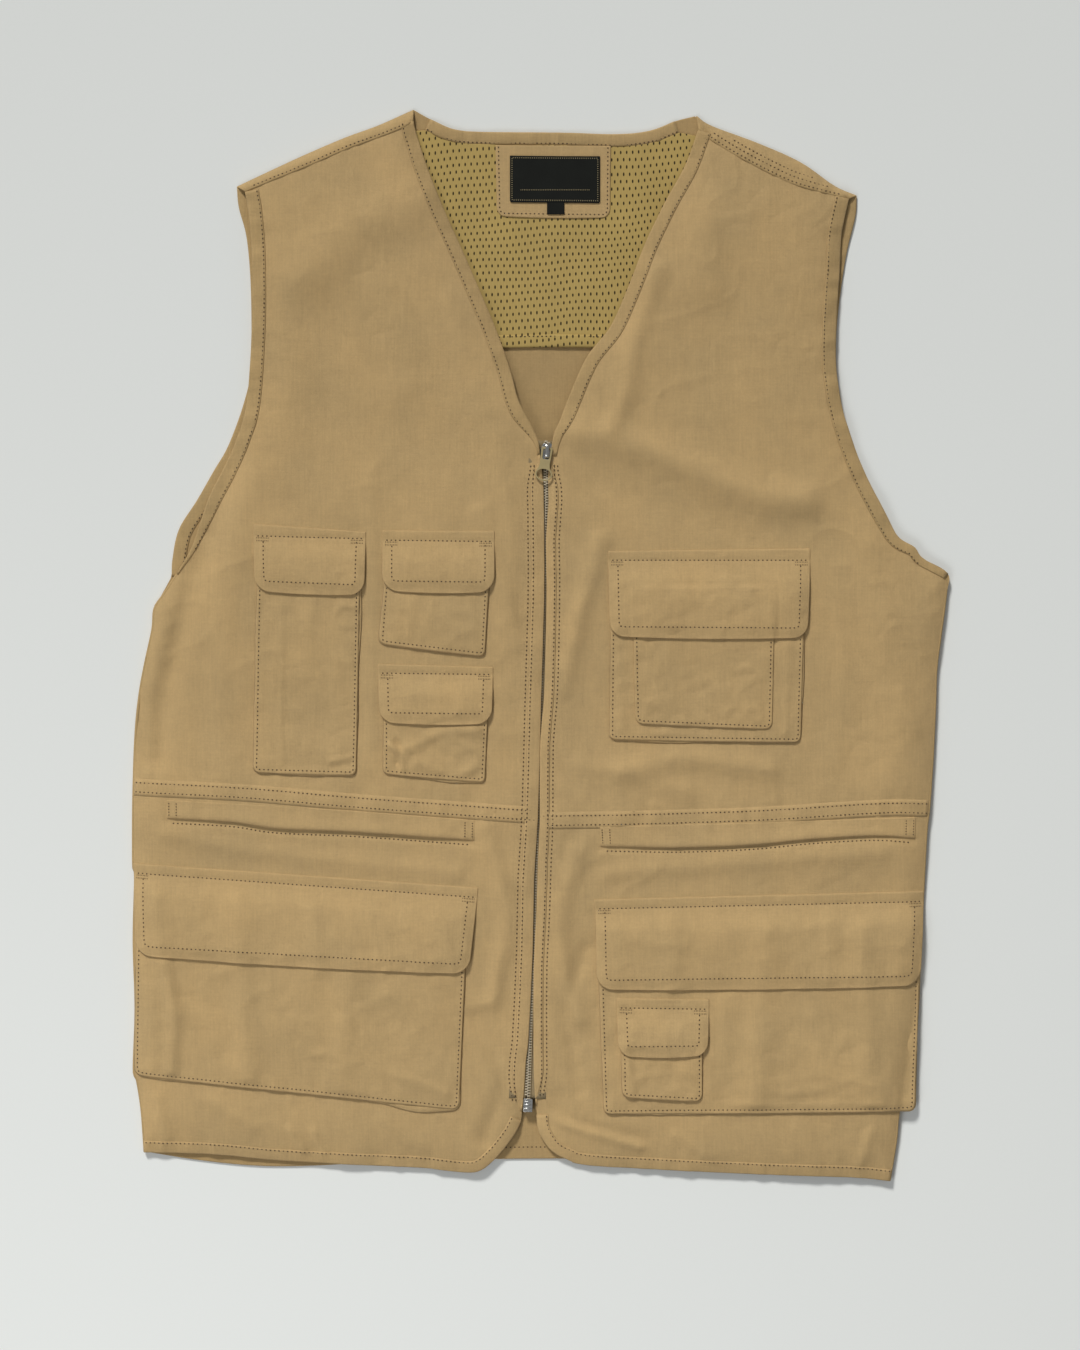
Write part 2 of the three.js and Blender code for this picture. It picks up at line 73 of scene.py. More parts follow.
# How each front is cut: lines round it, then the turn that faces its inside, the width of its
# placket and insets of the rows there, the shares of the neck and arm bindings' widths that are
# left at their low ends, the gathers and rows at the shoulder, and the seed of its unevenness.
PATTERN = {
    "right": {
        "seam": [
            (-206.5, 317.5), (-187.6, 325.2), (-158.2, 337), (-134.4, 347.6), (-99.4, 360.9),
            (-89, 367),
        ],
        "shoulder": [
            (-212.8, 321.7), (-187.6, 333.6), (-165, 344), (-137, 356), (-114, 364.4), (-88.9, 375.6),
        ],
        "arm": [
            (-206.5, 317.5), (-203.7, 300), (-201.6, 270.6), (-201.6, 225.8), (-205.1, 171.2),
            (-211.4, 146.7), (-221.9, 123.6), (-232, 103.3), (-244.3, 68.3), (-255, 50),
        ],
        "back_arm": [
            (-212.8, 321.7), (-211.4, 307), (-205.8, 285), (-202.9, 248), (-203, 196), (-207.5, 171),
            (-218.7, 140), (-229, 122), (-241, 101), (-253.5, 81), (-258, 60.6), (-258.6, 48),
        ],
        "side": [
            (-255, 50), (-264, 36), (-270.9, 25.6), (-272.3, 11), (-277.2, -11.6), (-281.4, -34),
            (-284.2, -60.6), (-285.6, -99.8),
        ],
        "side_low": [
            (-285.6, -99.8), (-286, -153), (-284.6, -163), (-285.6, -208), (-284.2, -255),
            (-285.6, -298.6), (-283.5, -305), (-280, -327), (-277.9, -356),
        ],
        "hem": [
            (-277.9, -356), (-246.4, -356.7), (-221.9, -358), (-184.8, -361.6), (-123, -365),
            (-82, -367), (-53, -370), (-41, -368), (-29.4, -358), (-18.2, -343.4), (-13.3, -334),
        ],
        "neck": [
            (-89, 367), (-87.5, 360), (-79, 333.6), (-67.9, 305.6), (-54.6, 276), (-42, 246.8),
            (-30.8, 220), (-21, 192), (-15.4, 171), (-5.6, 151.8), (-1.2, 141.6), (0, 133),
        ],
        "zip": [(0, 133), (2.3, 110), (2.8, 73), (2.8, 31), (0.7, -39), (-1.5, -119.9)],
        "zip_low": [
            (-1.5, -119.9), (-4.2, -163), (-5.2, -214), (-8.2, -277), (-9.9, -290), (-11.2, -312),
            (-13.3, -334),
        ],
        "waist": [(-285.6, -96.3), (-205, -100.5), (-123, -107.5), (-1.5, -116.4)],
        "turn": 1, "placket": 9.0, "placket_rows": (7.6, 11.2), "neck_end": 0.22, "arm_end": 0.16,
        "gather": 0.34, "shoulder_rows": (1.8,), "seed": 11,
    },
    "left": {
        "seam": [(216.3, 312.6), (182, 321), (158.9, 331), (137, 343), (119.7, 354), (111.3, 361)],
        "shoulder": [
            (222.3, 315.4), (206.5, 322.4), (183.4, 338.5), (154, 351.8), (120.4, 364.4),
            (109.9, 371.4),
        ],
        "arm": [
            (216.3, 312.6), (211.4, 289), (210, 264), (207.9, 231), (207.2, 198.5), (210.7, 171),
            (215.6, 152), (226.8, 122), (243.6, 88.6), (251.3, 75), (262.5, 68), (268, 60.6), (286, 50),
        ],
        "back_arm": [
            (222.3, 315.4), (221.4, 300.6), (214.8, 272.6), (209, 231), (207.9, 198), (211, 171),
            (216.4, 150), (227.5, 121), (244.5, 87), (252, 74), (263, 67), (268.6, 59.8), (286, 49),
        ],
        "side": [
            (286, 50), (285.4, 36), (281.4, 6), (278.6, -16.5), (277.6, -44.5), (275.8, -82),
            (273.4, -115),
        ],
        "side_low": [
            (273.4, -115), (271.4, -134), (269, -182), (267.4, -212.5), (264, -240), (259, -286),
            (252, -329), (250.3, -347.6), (245.7, -376),
        ],
        "hem": [
            (245.7, -376), (218.4, -373.5), (156.8, -371.4), (95, -368.6), (33.6, -365), (19.3, -361),
            (9.8, -356), (3.5, -349), (-1.0, -340), (-2.2, -330),
        ],
        "neck": [
            (111.3, 361), (102, 335.7), (87.5, 309), (74, 281), (62.3, 251), (49.7, 223), (32.9, 201),
            (19.6, 171), (14.3, 157), (10.5, 149), (9, 142.7), (7.4, 133),
        ],
        "zip": [
            (7.4, 133), (5.6, 118), (6.3, 101), (4.3, 73), (4.8, 45), (4.2, 0), (2.9, -39), (0.2, -70),
            (0, -123.4),
        ],
        "zip_low": [
            (0, -123.4), (-1.2, -150), (-2.4, -190), (-4.2, -225), (-4.4, -277), (-3.8, -312),
            (-2.2, -330),
        ],
        "waist": [(273.4, -111.5), (238.7, -111), (157, -116), (75, -118.7), (0, -119.9)],
        "turn": -1, "placket": 6.8, "placket_rows": (5.4, 9.0), "neck_end": 0.5, "arm_end": 0.5,
        "gather": 0.62, "shoulder_rows": (1.6, 5.2, 8.8), "seed": 41,
    },
}

BACK_NECK = [
    (-88.9, 375.6), (-77, 369), (-61, 362), (-40, 360), (14, 359.5), (54.6, 358.4), (77.7, 361),
    (94.5, 367.5), (109.9, 371.4),
]
BACK_HEM = [
    (-277.9, -356), (-240, -362), (-200, -366), (-160, -366), (-100, -363), (0, -361), (100, -362),
    (200, -364), (248, -366),
]

ZIP_TOP = np.array([5.0, 134.8])
ZIP_BOTTOM = np.array([-9.1, -327.3])
WAIST_BAND = 7.0  # between the two rows of stitching at the waist

# Soft folds that the cloth has kept: a line, the fold's half width and its rise.
FOLDS = {
    "right": [
        ([(-158, 262), (-134, 288), (-96, 306)], 19, 2.9),
        ([(-112, 244), (-98, 220), (-92, 184)], 14, 1.5),
        ([(-176, 250), (-172, 190), (-180, 120)], 16, 1.1),
        ([(-62, 240), (-52, 200), (-36, 165)], 9, 0.9),
        ([(-42, 92), (-27, 42), (-15, 0)], 7, 1.5),
        ([(-216, 128), (-236, 66), (-252, 12), (-266, -40), (-270, -78)], 10, -2.9),
        ([(-262, 12), (-271, -30)], 7, 1.3),
        ([(-196, 150), (-212, 60), (-214, -40)], 15, 0.8),
        ([(-273, -39), (-272, -88)], 5, 1.1),
        ([(-215, 60), (-225, -20), (-218, -90)], 9, 0.7),
        ([(-118, 120), (-117, 20), (-119, -85)], 6, 0.6),
        ([(-28, 150), (-20, 60), (-24, -60)], 10, 0.8),
        ([(-38, -130), (-22, -190), (-34, -250)], 7, 2.0),
        ([(-46, -262), (-24, -300), (-38, -345)], 7, -1.6),
        ([(-175, -340), (-166, -354)], 3.2, 1.2),
        ([(-158, -341), (-152, -356)], 2.8, 1.0),
        ([(-232, -318), (-200, -338)], 5, 0.8),
        ([(-268, -318), (-262, -345)], 4, 0.9),
        ([(-110, -332), (-84, -352)], 5, 0.7),
        ([(-262, -132), (-190, -146), (-60, -160)], 6, 1.1),
    ],
    "left": [
        ([(26, 148), (80, 134), (146, 106), (186, 100)], 12, 3.3),
        ([(40, 112), (90, 96), (150, 74)], 12, -1.0),
        ([(82, 262), (66, 212), (60, 176), (50, 152)], 8, 2.0),
        ([(96, 320), (112, 292), (120, 250)], 13, 1.6),
        ([(244, 20), (250, -40), (246, -96)], 12, 1.6),
        ([(60, -88), (104, -80), (160, -88)], 8, 1.9),
        ([(28, 31), (22, 5), (19, -16)], 6, 0.9),
        ([(42, 72), (28, 22), (15, -30)], 8, 2.2),
        ([(30, -84), (66, -92), (100, -104)], 8, 1.2),
        ([(120, 290), (100, 240), (60, 190)], 22, 0.9),
        ([(236, 96), (232, 40), (240, -30)], 12, 1.0),
        ([(253, -35), (262, -60)], 6, 1.1),
        ([(210, 50), (214, -20), (206, -80)], 8, 0.6),
        ([(3.5, -320), (11, -333), (70, -352)], 3.2, 1.5),
        ([(10, -318), (22, -334), (74, -346)], 4.5, -0.9),
        ([(26, -146), (12, -200), (26, -262)], 7, 2.0),
        ([(32, -214), (19, -256), (28, -312)], 6, -1.4),
        ([(96, -344), (120, -360)], 4, 0.8),
        ([(180, -338), (196, -362)], 4.5, 0.8),
        ([(232, -340), (224, -365)], 4, 0.9),
        ([(50, -160), (150, -152), (240, -146)], 6, 1.1),
    ],
}

# Pockets: corners of the face (top left, top right, bottom right, bottom left), the flap's
# hinge and foot, and the line where its sewn header starts. Folds are on the face.
POCKETS = {
    "pen": {
        "side": "right", "corners": [(-197, 66), (-126, 64), (-129, -91), (-200, -89)],
        "header": [(-200, 84), (-122, 78.5)], "hinge": [(-200, 76), (-122, 74)],
        "peeks": [(-165, -90, 20, 1.4), (-126, 25, 30, 1.7)],
        "foot": [(-199, 38), (-123, 35)], "corner": 4, "flap_corner": 10,
        "folds": [
            ([(-180, 30), (-181, -84)], 1.6, 0.35), ([(-160, 34), (-163, -20)], 6, 0.5),
            ([(-147, -82), (-131, -78)], 1.4, 0.9), ([(-145, -86), (-130, -84)], 1.6, -0.6),
            ([(-138, 28), (-129, 26)], 2.5, 0.6), ([(-143, -10), (-131, -14)], 2.5, 0.4),
        ],
    },
    "upper_box": {
        "side": "right", "corners": [(-107, 62), (-35, 62), (-39, -8), (-112, 1)],
        "header": [(-110, 79.5), (-32, 79)], "hinge": [(-110, 73), (-32, 72)],
        "foot": [(-110, 38), (-32, 37)], "corner": 4, "flap_corner": 11,
        "folds": [
            ([(-90, 30), (-92, 6)], 3, 0.5), ([(-76, 22), (-52, 8)], 6, 0.6),
            ([(-66, 26), (-48, 20)], 3, 0.4),
        ],
    },
    "lower_box": {
        "side": "right", "corners": [(-109, -30), (-36, -31), (-39, -96), (-109, -90)],
        "header": [(-113, -14), (-33, -16)], "hinge": [(-113, -20), (-33, -21)],
        "peeks": [(-64, -94, 18, 1.8)],
        "foot": [(-112, -54), (-34, -55)], "corner": 3, "flap_corner": 10,
        "folds": [
            ([(-106, -70), (-99, -76), (-95, -90)], 2.0, 1.5),
            ([(-101, -68), (-98, -72), (-99, -84)], 1.8, -1.1),
            ([(-92, -73), (-70, -62), (-45, -60)], 4, 1.1), ([(-86, -82), (-60, -92), (-44, -84)], 3.5, 0.8),
            ([(-60, -66), (-44, -76)], 3, 0.6), ([(-84, -66), (-66, -78)], 4, -0.7),
        ],
    },
    "right_cargo": {
        "side": "right", "corners": [(-282, -171), (-51, -186), (-57, -325), (-284, -301)],
        "header": [(-285, -153.5), (-43.6, -170.5)], "hinge": [(-284.5, -160), (-44, -177)],
        "peeks": [(-86, -322, 20, 4.6), (-258, -304, 24, 1.2)],
        "foot": [(-283, -217), (-50, -230)], "corner": 5, "flap_corner": 11,
        "folds": [
            ([(-262, -224), (-256, -260), (-258, -300)], 5, 2.0),
            ([(-214, -176), (-208, -240), (-204, -300)], 10, 1.7),
            ([(-134, -232), (-138, -308)], 9, 1.4), ([(-100, -300), (-66, -314)], 4, 0.8),
            ([(-158, -182), (-156, -226)], 6, 0.9), ([(-268, -170), (-264, -218)], 6, 0.9),
            ([(-104, -244), (-74, -256)], 7, 0.7), ([(-190, -262), (-120, -276)], 12, 0.5),
        ],
    },
    "chest": {
        "side": "left", "corners": [(50, 50), (185, 50), (182, -68), (49, -66)],
        "header": [(48, 65), (189, 67)], "hinge": [(48, 59), (189, 59)],
        "peeks": [(92, -68, 26, 1.8), (183, -20, 24, 0.8)],
        "foot": [(49, 6), (187, 5)], "corner": 4, "flap_corner": 10,
        "folds": [
            ([(56, -10), (57, -58)], 3, 0.5), ([(174, 0), (172, -60)], 3, 0.5),
            ([(80, -63), (150, -65)], 2, 0.4),
        ],
    },
    "left_cargo": {
        "side": "left", "corners": [(41, -195), (267, -190), (262, -326), (45, -328)],
        "header": [(38.2, -178.8), (269, -173)], "hinge": [(39, -185), (269, -180)],
        "peeks": [(90, -328, 30, 1.6)],
        "foot": [(40, -241), (266, -238)], "corner": 4, "flap_corner": 11,
        "folds": [
            ([(160, -190), (156, -250), (150, -318)], 10, 1.4), ([(226, -200), (232, -320)], 8, 1.3),
            ([(92, -192), (96, -236)], 9, 1.1), ([(204, -186), (200, -232)], 6, 0.9),
            ([(130, -250), (128, -300)], 6, 0.5), ([(190, -262), (200, -300)], 7, 0.5),
            ([(120, -322), (240, -322)], 2.4, 0.5),
        ],
    },
}
KEY = {
    "side": "left", "corners": [(57, -264), (113, -265), (113, -319), (58, -316)],
    "header": [(54, -247.5), (118, -248.5)], "hinge": [(54, -254), (118, -255)],
    "foot": [(55, -287), (117, -286.5)], "corner": 5, "flap_corner": 9,
    "folds": [([(62, -290), (66, -312)], 2.2, 0.6), ([(86, -292), (104, -300)], 4, 0.5)],
}
PATCH = {"corners": [(65, 39), (164, 39), (162, -59), (67, -55)], "corner": 5}
WELTS = {
    "right": {
        "top": [(-261, -109), (-150, -115), (-46, -123)],
        "lip": [(-260.8, -121.5), (-215.6, -124), (-184.8, -128.5), (-129.5, -131), (-46.2, -137)],
        "ends": (-261, -46),
    },
    "left": {
        "top": [(42, -127.6), (157, -124.5), (263, -121)],
        "lip": [(42.7, -141), (95, -142), (148.4, -140), (189.7, -136), (235, -133.6), (262.5, -135.5)],
        "ends": (42, 263),
    },
}


# ---- settings -----------------------------------------------------------
def millimetres(name, description, default, low=0.05, high=60.0):
    return bpy.props.FloatProperty(
        name=name, description=description, default=default, min=low, max=high, precision=2, unit="NONE",
    )


def paint(name, description, default):
    return bpy.props.FloatVectorProperty(
        name=name, description=description, default=default, min=0, max=1, size=3, subtype="COLOR",
    )


class VestSizes(bpy.types.PropertyGroup):
    """Sizes of the vest's sewn details, in millimetres."""

    cloth_step: millimetres("Cloth step", "Spacing of the points that shape the two fronts", 1.9, 1.0, 8.0)
    back_step: millimetres("Back step", "Spacing of the points that shape the back", 4.5, 2.0, 12.0)
    stitch_pitch: millimetres("Stitch pitch", "From one stitch to the next", 3.0, 1.2, 6.0)
    thread_width: millimetres("Thread width", "Width of the sewing thread", 0.88, 0.2, 1.2)
    neck_binding: millimetres("Neck binding", "Width of the band that binds the neck", 9.0, 4.0, 16.0)
    arm_binding: millimetres("Armhole binding", "Width of the band that binds the armholes", 9.5, 4.0, 16.0)
    hem_depth: millimetres("Hem depth", "Width of the turned hem", 8.0, 4.0, 25.0)
    flap_ply: millimetres("Flap thickness", "Thickness of a flap's two plies", 1.0, 0.5, 3.0)
    pocket_depth: millimetres("Pocket depth", "How far a pocket's edge stands off the front", 1.8, 1.0, 5.0)
    tooth_pitch: millimetres("Tooth pitch", "From one zip tooth to the next on one side", 1.9, 1.0, 4.0)


class VestColours(bpy.types.PropertyGroup):
    """Colours of the vest's cloths and metal parts."""

    shell: paint("Shell", "Cotton poplin of the outside", (0.524, 0.369, 0.177))
    binding: paint("Binding", "Self cloth of the bindings, cut across the grain", (0.472, 0.331, 0.155))
    inner: paint("Inner back", "The inside of the back", (0.448, 0.312, 0.146))
    mesh: paint("Mesh", "Knitted mesh of the yoke lining", (0.452, 0.320, 0.104))
    label: paint("Label", "Black woven label", (0.010, 0.011, 0.009))
    border: paint("Label border", "Muted gold thread round the label", (0.36, 0.29, 0.15))
    # Thread: painted darker than the tan thread itself, so that its dashes also carry painted shade of the
    # needle holes.
    thread: paint("Thread", "Topstitching thread", (0.092, 0.056, 0.023))
    # Tape: painted lighter than the tape itself, as painted light against the shade between the plackets.
    tape: paint("Zip tape", "Woven tape of the zip", (0.330, 0.245, 0.125))
    # Teeth: painted lighter than the teeth themselves, as painted light against the shade between the
    # plackets.
    tooth: paint("Zip teeth", "Moulded teeth", (0.470, 0.395, 0.270))
    pad: paint("Pads", "Hook and loop pads", (0.320, 0.228, 0.112))
    pull: paint("Pull", "Painted zip pull", (0.400, 0.320, 0.155))
    metal: paint("Metal", "Plated slider and box", (0.62, 0.61, 0.58))
    floor: paint("Floor", "Pale floor", (0.796, 0.812, 0.790))


def sizes():
    return bpy.context.scene.vest_sizes


def colours():
    return bpy.context.scene.vest_colours


# ---- lines and heights --------------------------------------------------
def smooth(t):
    t = np.clip(t, 0, 1)
    return t * t * (3 - 2 * t)


def catmull(points, steps=6):
    """A smooth line through the points."""
    p = np.array(points, float)
    if len(p) < 3:
        return p
    p = np.vstack([2 * p[0] - p[1], p, 2 * p[-1] - p[-2]])
    t = np.linspace(0, 1, steps, endpoint=False)[:, None]
    parts = []
    for a, b, c, d in zip(p, p[1:], p[2:], p[3:]):
        curve = 2 * b + (c - a) * t + (2 * a - 5 * b + 4 * c - d) * t**2 + (3 * b - a - 3 * c + d) * t**3
        parts.append(0.5 * curve)
    return np.vstack(parts + [p[-2:-1]])


def arc(line):
    return np.concatenate([[0], np.cumsum(np.linalg.norm(np.diff(line, axis=0), axis=1))])


def along(line, t):
    """Points on a line at the fractions t of its length."""
    s = arc(line)
    at = np.asarray(t) * s[-1]
    return np.stack([np.interp(at, s, line[:, k]) for k in range(line.shape[1])], -1)


def normals(line):
    """Unit normals to the left of travel."""
    d = np.gradient(line, axis=0)
    d /= np.linalg.norm(d, axis=1, keepdims=True) + 1e-12
    return np.stack([-d[:, 1], d[:, 0]], 1)


def offset(line, distance):
    return line + normals(line) * distance


def even(line, step):
    """The line with evenly spaced points."""
    count = max(2, int(round(arc(line)[-1] / step)) + 1)
    return along(line, np.linspace(0, 1, count))


def distance_to(line, x, y):
    """Distance from each point to a line."""
    line = np.asarray(line, float)
    best = np.full(np.shape(x), 1e9)
    for a, b in zip(line, line[1:]):
        d = b - a
        t = np.clip(((x - a[0]) * d[0] + (y - a[1]) * d[1]) / (d @ d + 1e-12), 0, 1)
        best = np.minimum(best, np.hypot(x - a[0] - t * d[0], y - a[1] - t * d[1]))
    return best


def noise(x, y, size, seed):
    """Smooth hills from -1 to 1, about one to every size millimetres."""
    table = np.random.default_rng(seed).uniform(-1, 1, (97, 97))
    gx = np.asarray(x) / size + 48.37
    gy = np.asarray(y) / size + 48.71
    ix = np.floor(gx).astype(int)
    iy = np.floor(gy).astype(int)
    fx = smooth(gx - ix)
    fy = smooth(gy - iy)
    low = table[ix % 97, iy % 97] * (1 - fx) + table[(ix + 1) % 97, iy % 97] * fx
    high = table[ix % 97, (iy + 1) % 97] * (1 - fx) + table[(ix + 1) % 97, (iy + 1) % 97] * fx
    return low * (1 - fy) + high * fy


def crease(x, y, size, seed):
    """A net of soft pressed creases from 0 to 1, stronger in some places than in others."""
    ridge = (1 - np.abs(noise(x + 0.3 * y, y - 0.3 * x, size, seed))) ** 5
    return ridge * smooth(0.5 + 0.9 * noise(x, y, 3.4 * size, seed + 1))


def within(outline, x, y):
    """Whether each point lies inside a closed outline."""
    inside = np.zeros(np.shape(x), bool)
    for a, b in zip(outline, np.roll(outline, -1, 0)):
        spans = (a[1] > y) != (b[1] > y)
        crossing = a[0] + (y - a[1]) * (b[0] - a[0]) / (b[1] - a[1] + 1e-12)
        inside ^= spans & (x < crossing)
    return inside


def fold_height(folds, x, y):
    """Rise of the kept folds at each point, fading out at their ends."""
    rise = np.zeros(np.shape(x))
    for line, width, height in folds:
        smoothed = catmull(line, 5)
        rise = rise + height * np.exp(-((distance_to(smoothed, x, y) / width) ** 2))
    return rise


def edge_lines(side):
    """Each edge of a front: its line, how far the cloth drops there and over what reach."""
    cut = PATTERN[side]
    return {
        "neck": (catmull(cut["neck"], 3), 3.2, 40),
        "arm": (catmull(cut["arm"], 3), 3.6, 32),
        "seam": (catmull(cut["seam"], 3), 2.4, 45),
        "side": (catmull(cut["side"] + cut["side_low"][1:], 2), 4.4, 18),
        "hem": (catmull(cut["hem"], 3), 4.6, 34),
    }


def closed_outline(side):
    """The outline of a front, all the way round."""
    cut = PATTERN[side]
    down = cut["seam"][::-1] + cut["arm"][1:] + cut["side"][1:] + cut["side_low"][1:] + cut["hem"][1:]
    up = cut["zip_low"][-2::-1] + cut["zip"][-2::-1] + cut["neck"][-2:0:-1]
    return np.array(down + up, float)


EDGES = {side: edge_lines(side) for side in SIDES}
OUTLINES = {side: closed_outline(side) for side in SIDES}
WAISTS = {side: catmull(PATTERN[side]["waist"], 4) for side in SIDES}
LIPS = {side: catmull(WELTS[side]["lip"], 3) for side in SIDES}
PLACKETS = {side: catmull(PATTERN[side]["zip"] + PATTERN[side]["zip_low"][1:], 2) for side in SIDES}

FRONT_LEVEL = 8.4
LOWEST_FRONT = 2.8
FOLD_STRENGTH = 1.25
# What stays uneven in a laid front: height and size in millimetres.
SWELL = (1.35, 66)
ROLL = (0.58, 31)
DRAG = (0.26, 11)
DIMPLE = (0.10, 6)
PRESSED_CREASE = (0.60, 26)
SUNK_CREASE = (-0.36, 15)
EDGE_GATHER = (0.80, 7.5)
WAIST_GATHER = (0.90, 7.5)
PLACKET_RIPPLE = (0.85, 12)
# Gathers along an edge: how fast they change across the vest and up it.
PUCKERS = {"hem": (1.0, 0.3), "arm": (0.3, 1.0), "neck": (0.6, 0.6)}


def wave(kind, x, y, seed):
    height, size = kind
    return height * noise(x, y, size, seed)


def bell(distance, reach):
    """1 at no distance, fading softly over a reach."""
    return np.exp(-((distance / reach) ** 2))


def uneven(side, x, y):
    """Waves, creases and kept folds of a front, calmer beside the placket."""
    seed = PATTERN[side]["seed"]
    z = wave(SWELL, x, y, seed) + wave(ROLL, x + 0.5 * y, y, seed + 1)
    z = z + wave(DRAG, x + 0.4 * y, y * 0.35, seed + 2) + wave(DIMPLE, x, y, seed + 3)
    z = z + PRESSED_CREASE[0] * crease(x, y, PRESSED_CREASE[1], seed + 7)
    z = z + SUNK_CREASE[0] * crease(x, y, SUNK_CREASE[1], seed + 9)
    z = z + FOLD_STRENGTH * fold_height(FOLDS[side], x, y)
    return z * (0.30 + 0.70 * smooth((distance_to(PLACKETS[side], x, y) - 3) / 24))


def edge_fall(side, name, x, y, near):
    """How far a front sinks towards one of its edges."""
    drop, reach = EDGES[side][name][1:]
    if name == "side":
        near = np.where(within(OUTLINES[side], x, y), near, 0.25 * near)
    fall = drop * np.clip(1 - near / reach, 0, 1) ** 2
    return fall * smooth((y - 140) / 90) if name == "neck" else fall


def front_height(side):
    """The upper face of one front, as a function of place."""
    seed = PATTERN[side]["seed"]

    def height(x, y):
        x = np.asarray(x, float)
        y = np.asarray(y, float)
        z = uneven(side, x, y)
        drops = np.zeros(np.shape(x))
        for name in EDGES[side]:
            near = distance_to(EDGES[side][name][0], x, y)
            drops = np.maximum(drops, edge_fall(side, name, x, y, near))
            if name in PUCKERS:
                across, up = PUCKERS[name]
                z = z + wave(EDGE_GATHER, x * across, y * up, seed + 4) * bell(near, 13)
        waist = distance_to(WAISTS[side], x, y + 0.5 * WAIST_BAND)
        z = z + wave(WAIST_GATHER, x, y * 0.30, seed + 5) * bell(waist, 14)
        placket = distance_to(PLACKETS[side], x, y)
        z = z + wave(PLACKET_RIPPLE, x * 0.5, y + 0.7 * x, seed + 6) * smooth(placket / 6) * bell(placket, 28)
        z = z - 0.7 * smooth((6 - placket) / 6) * (y < 120)
        z = z - 1.1 * bell(distance_to(LIPS[side], x, y + 1.6), 2.0)
        z = z - 0.8 * bell(np.hypot(x - ZIP_TOP[0], (y - ZIP_TOP[1] + 12) * 0.8), 22)
        return np.maximum(FRONT_LEVEL + z - drops, LOWEST_FRONT)

    return height


FRONTS = {side: front_height(side) for side in SIDES}


def back_height(x, y):
    """The upper face of the back, lying on the floor."""
    return 0.95 + 0.08 * noise(x, y, 30, 5)


def level(z):
    return lambda x, y: z + 0 * x


def lining_height(x, y):
    """The upper face of the mesh lining."""
    return 2.0 + 0.22 * noise(x, y, 28, 6) + 0.1 * noise(x, y, 9, 7)


# ---- meshes -------------------------------------------------------------
class Shape:
    """Points and faces gathered into one piece."""

    def __init__(self):
        self.points = []
        self.faces = []
        self.count = 0

    def add(self, points, faces):
        points = np.asarray(points, float).reshape(-1, 3)
        self.faces.append(np.asarray(faces) + self.count)
        self.points.append(points)
        self.count += len(points)

    def grid(self, points, around=False):
        """Quads over an array of rows and columns of points, closed round the columns if around."""
        rows, columns = points.shape[:2]
        index = np.arange(rows * columns).reshape(rows, columns)
        wide = np.hstack([index, index[:, :1]]) if around else index
        quads = np.stack([wide[:-1, :-1], wide[:-1, 1:], wide[1:, 1:], wide[1:, :-1]], -1)
        start = self.count
        self.add(points, quads.reshape(-1, 4))
        return index + start

    def pillow(self, top, bottom, rim=0.35):
        """A closed cloth shape from its upper and lower faces, with a rounded rim."""
        upper = self.grid(top)
        lower = self.grid(bottom[:, ::-1])[:, ::-1]
        upper_ring = border(upper)
        lower_ring = border(lower)
        rim_points = 0.5 * (border(top) + border(bottom))
        centre = rim_points.mean(0)
        flat = rim_points[:, :2]
        tangent = np.roll(flat, -1, 0) - np.roll(flat, 1, 0)
        outward = np.stack([tangent[:, 1], -tangent[:, 0]], 1)
        outward /= np.linalg.norm(outward, axis=1, keepdims=True) + 1e-9
        if ((flat - centre[:2]) * outward).sum() < 0:
            outward = -outward
        rim_points = np.hstack([flat + outward * rim, rim_points[:, 2:]])
        start = self.count
        self.add(rim_points, np.zeros((0, 4), int))
        middle = np.arange(len(rim_points)) + start
        self.join(upper_ring, middle)
        self.join(middle, lower_ring)

    def join(self, first, second):
        after_first = np.roll(first, -1)
        after_second = np.roll(second, -1)
        self.faces.append(np.stack([first, second, after_second, after_first], 1))

    def tube(self, rings):
        """A closed tube from an array of rings, capped at both ends."""
        index = self.grid(rings, around=True)
        for ring in (index[0][::-1], index[-1]):
            self.faces.append(ring[None, :])

    def build(self, name, finish, closed=True):
        mesh = bpy.data.meshes.new(name)
        points = np.vstack(self.points) * MM
        faces = [face for block in self.faces for face in block.tolist()]
        mesh.from_pydata(points.tolist(), [], faces)
        mesh.validate()
        work = bmesh.new()
        work.from_mesh(mesh)
        if closed:
            bmesh.ops.recalc_face_normals(work, faces=work.faces)
        else:
            work.normal_update()
            if sum(face.normal.z * face.calc_area() for face in work.faces) < 0:
                bmesh.ops.reverse_faces(work, faces=work.faces)
        work.to_mesh(mesh)
        work.free()
        mesh.shade_smooth()
        piece = bpy.data.objects.new(name, mesh)
        bpy.context.scene.collection.objects.link(piece)
        mesh.materials.append(finish)
        return piece


def sheet_between(xy, upper, lower, rim, rise=0.0, fall=0.0):
    """A closed sheet of cloth between two height functions, each lifted a little."""
    shape = Shape()
    shape.pillow(raised(xy, upper, rise), raised(xy, lower, fall), rim)
    return shape


def border(grid):
    """The outer ring of a grid, in order, without repeats."""
    return np.concatenate([grid[0, :-1], grid[:-1, -1], grid[-1, :0:-1], grid[:0:-1, 0]])


def raised(xy, height, lift=0.0):
    """Points at a height function's level over an array of places."""
    z = height(xy[..., 0], xy[..., 1]) + lift
    return np.concatenate([xy, np.asarray(z)[..., None]], -1)


def coons(top, bottom, left, right, across, down):
    """A grid of places between four edges. Left and right run down, top and bottom run to the right."""
    u = np.asarray(across)[None, :, None]
    v = np.asarray(down)[:, None, None]
    upper = along(top, across)[None]
    lower = along(bottom, across)[None]
    first = along(left, down)[:, None]
    last = along(right, down)[:, None]
    corners = (1 - v) * ((1 - u) * top[0] + u * top[-1]) + v * ((1 - u) * bottom[0] + u * bottom[-1])
    return (1 - v) * upper + v * lower + (1 - u) * first + u * last - corners


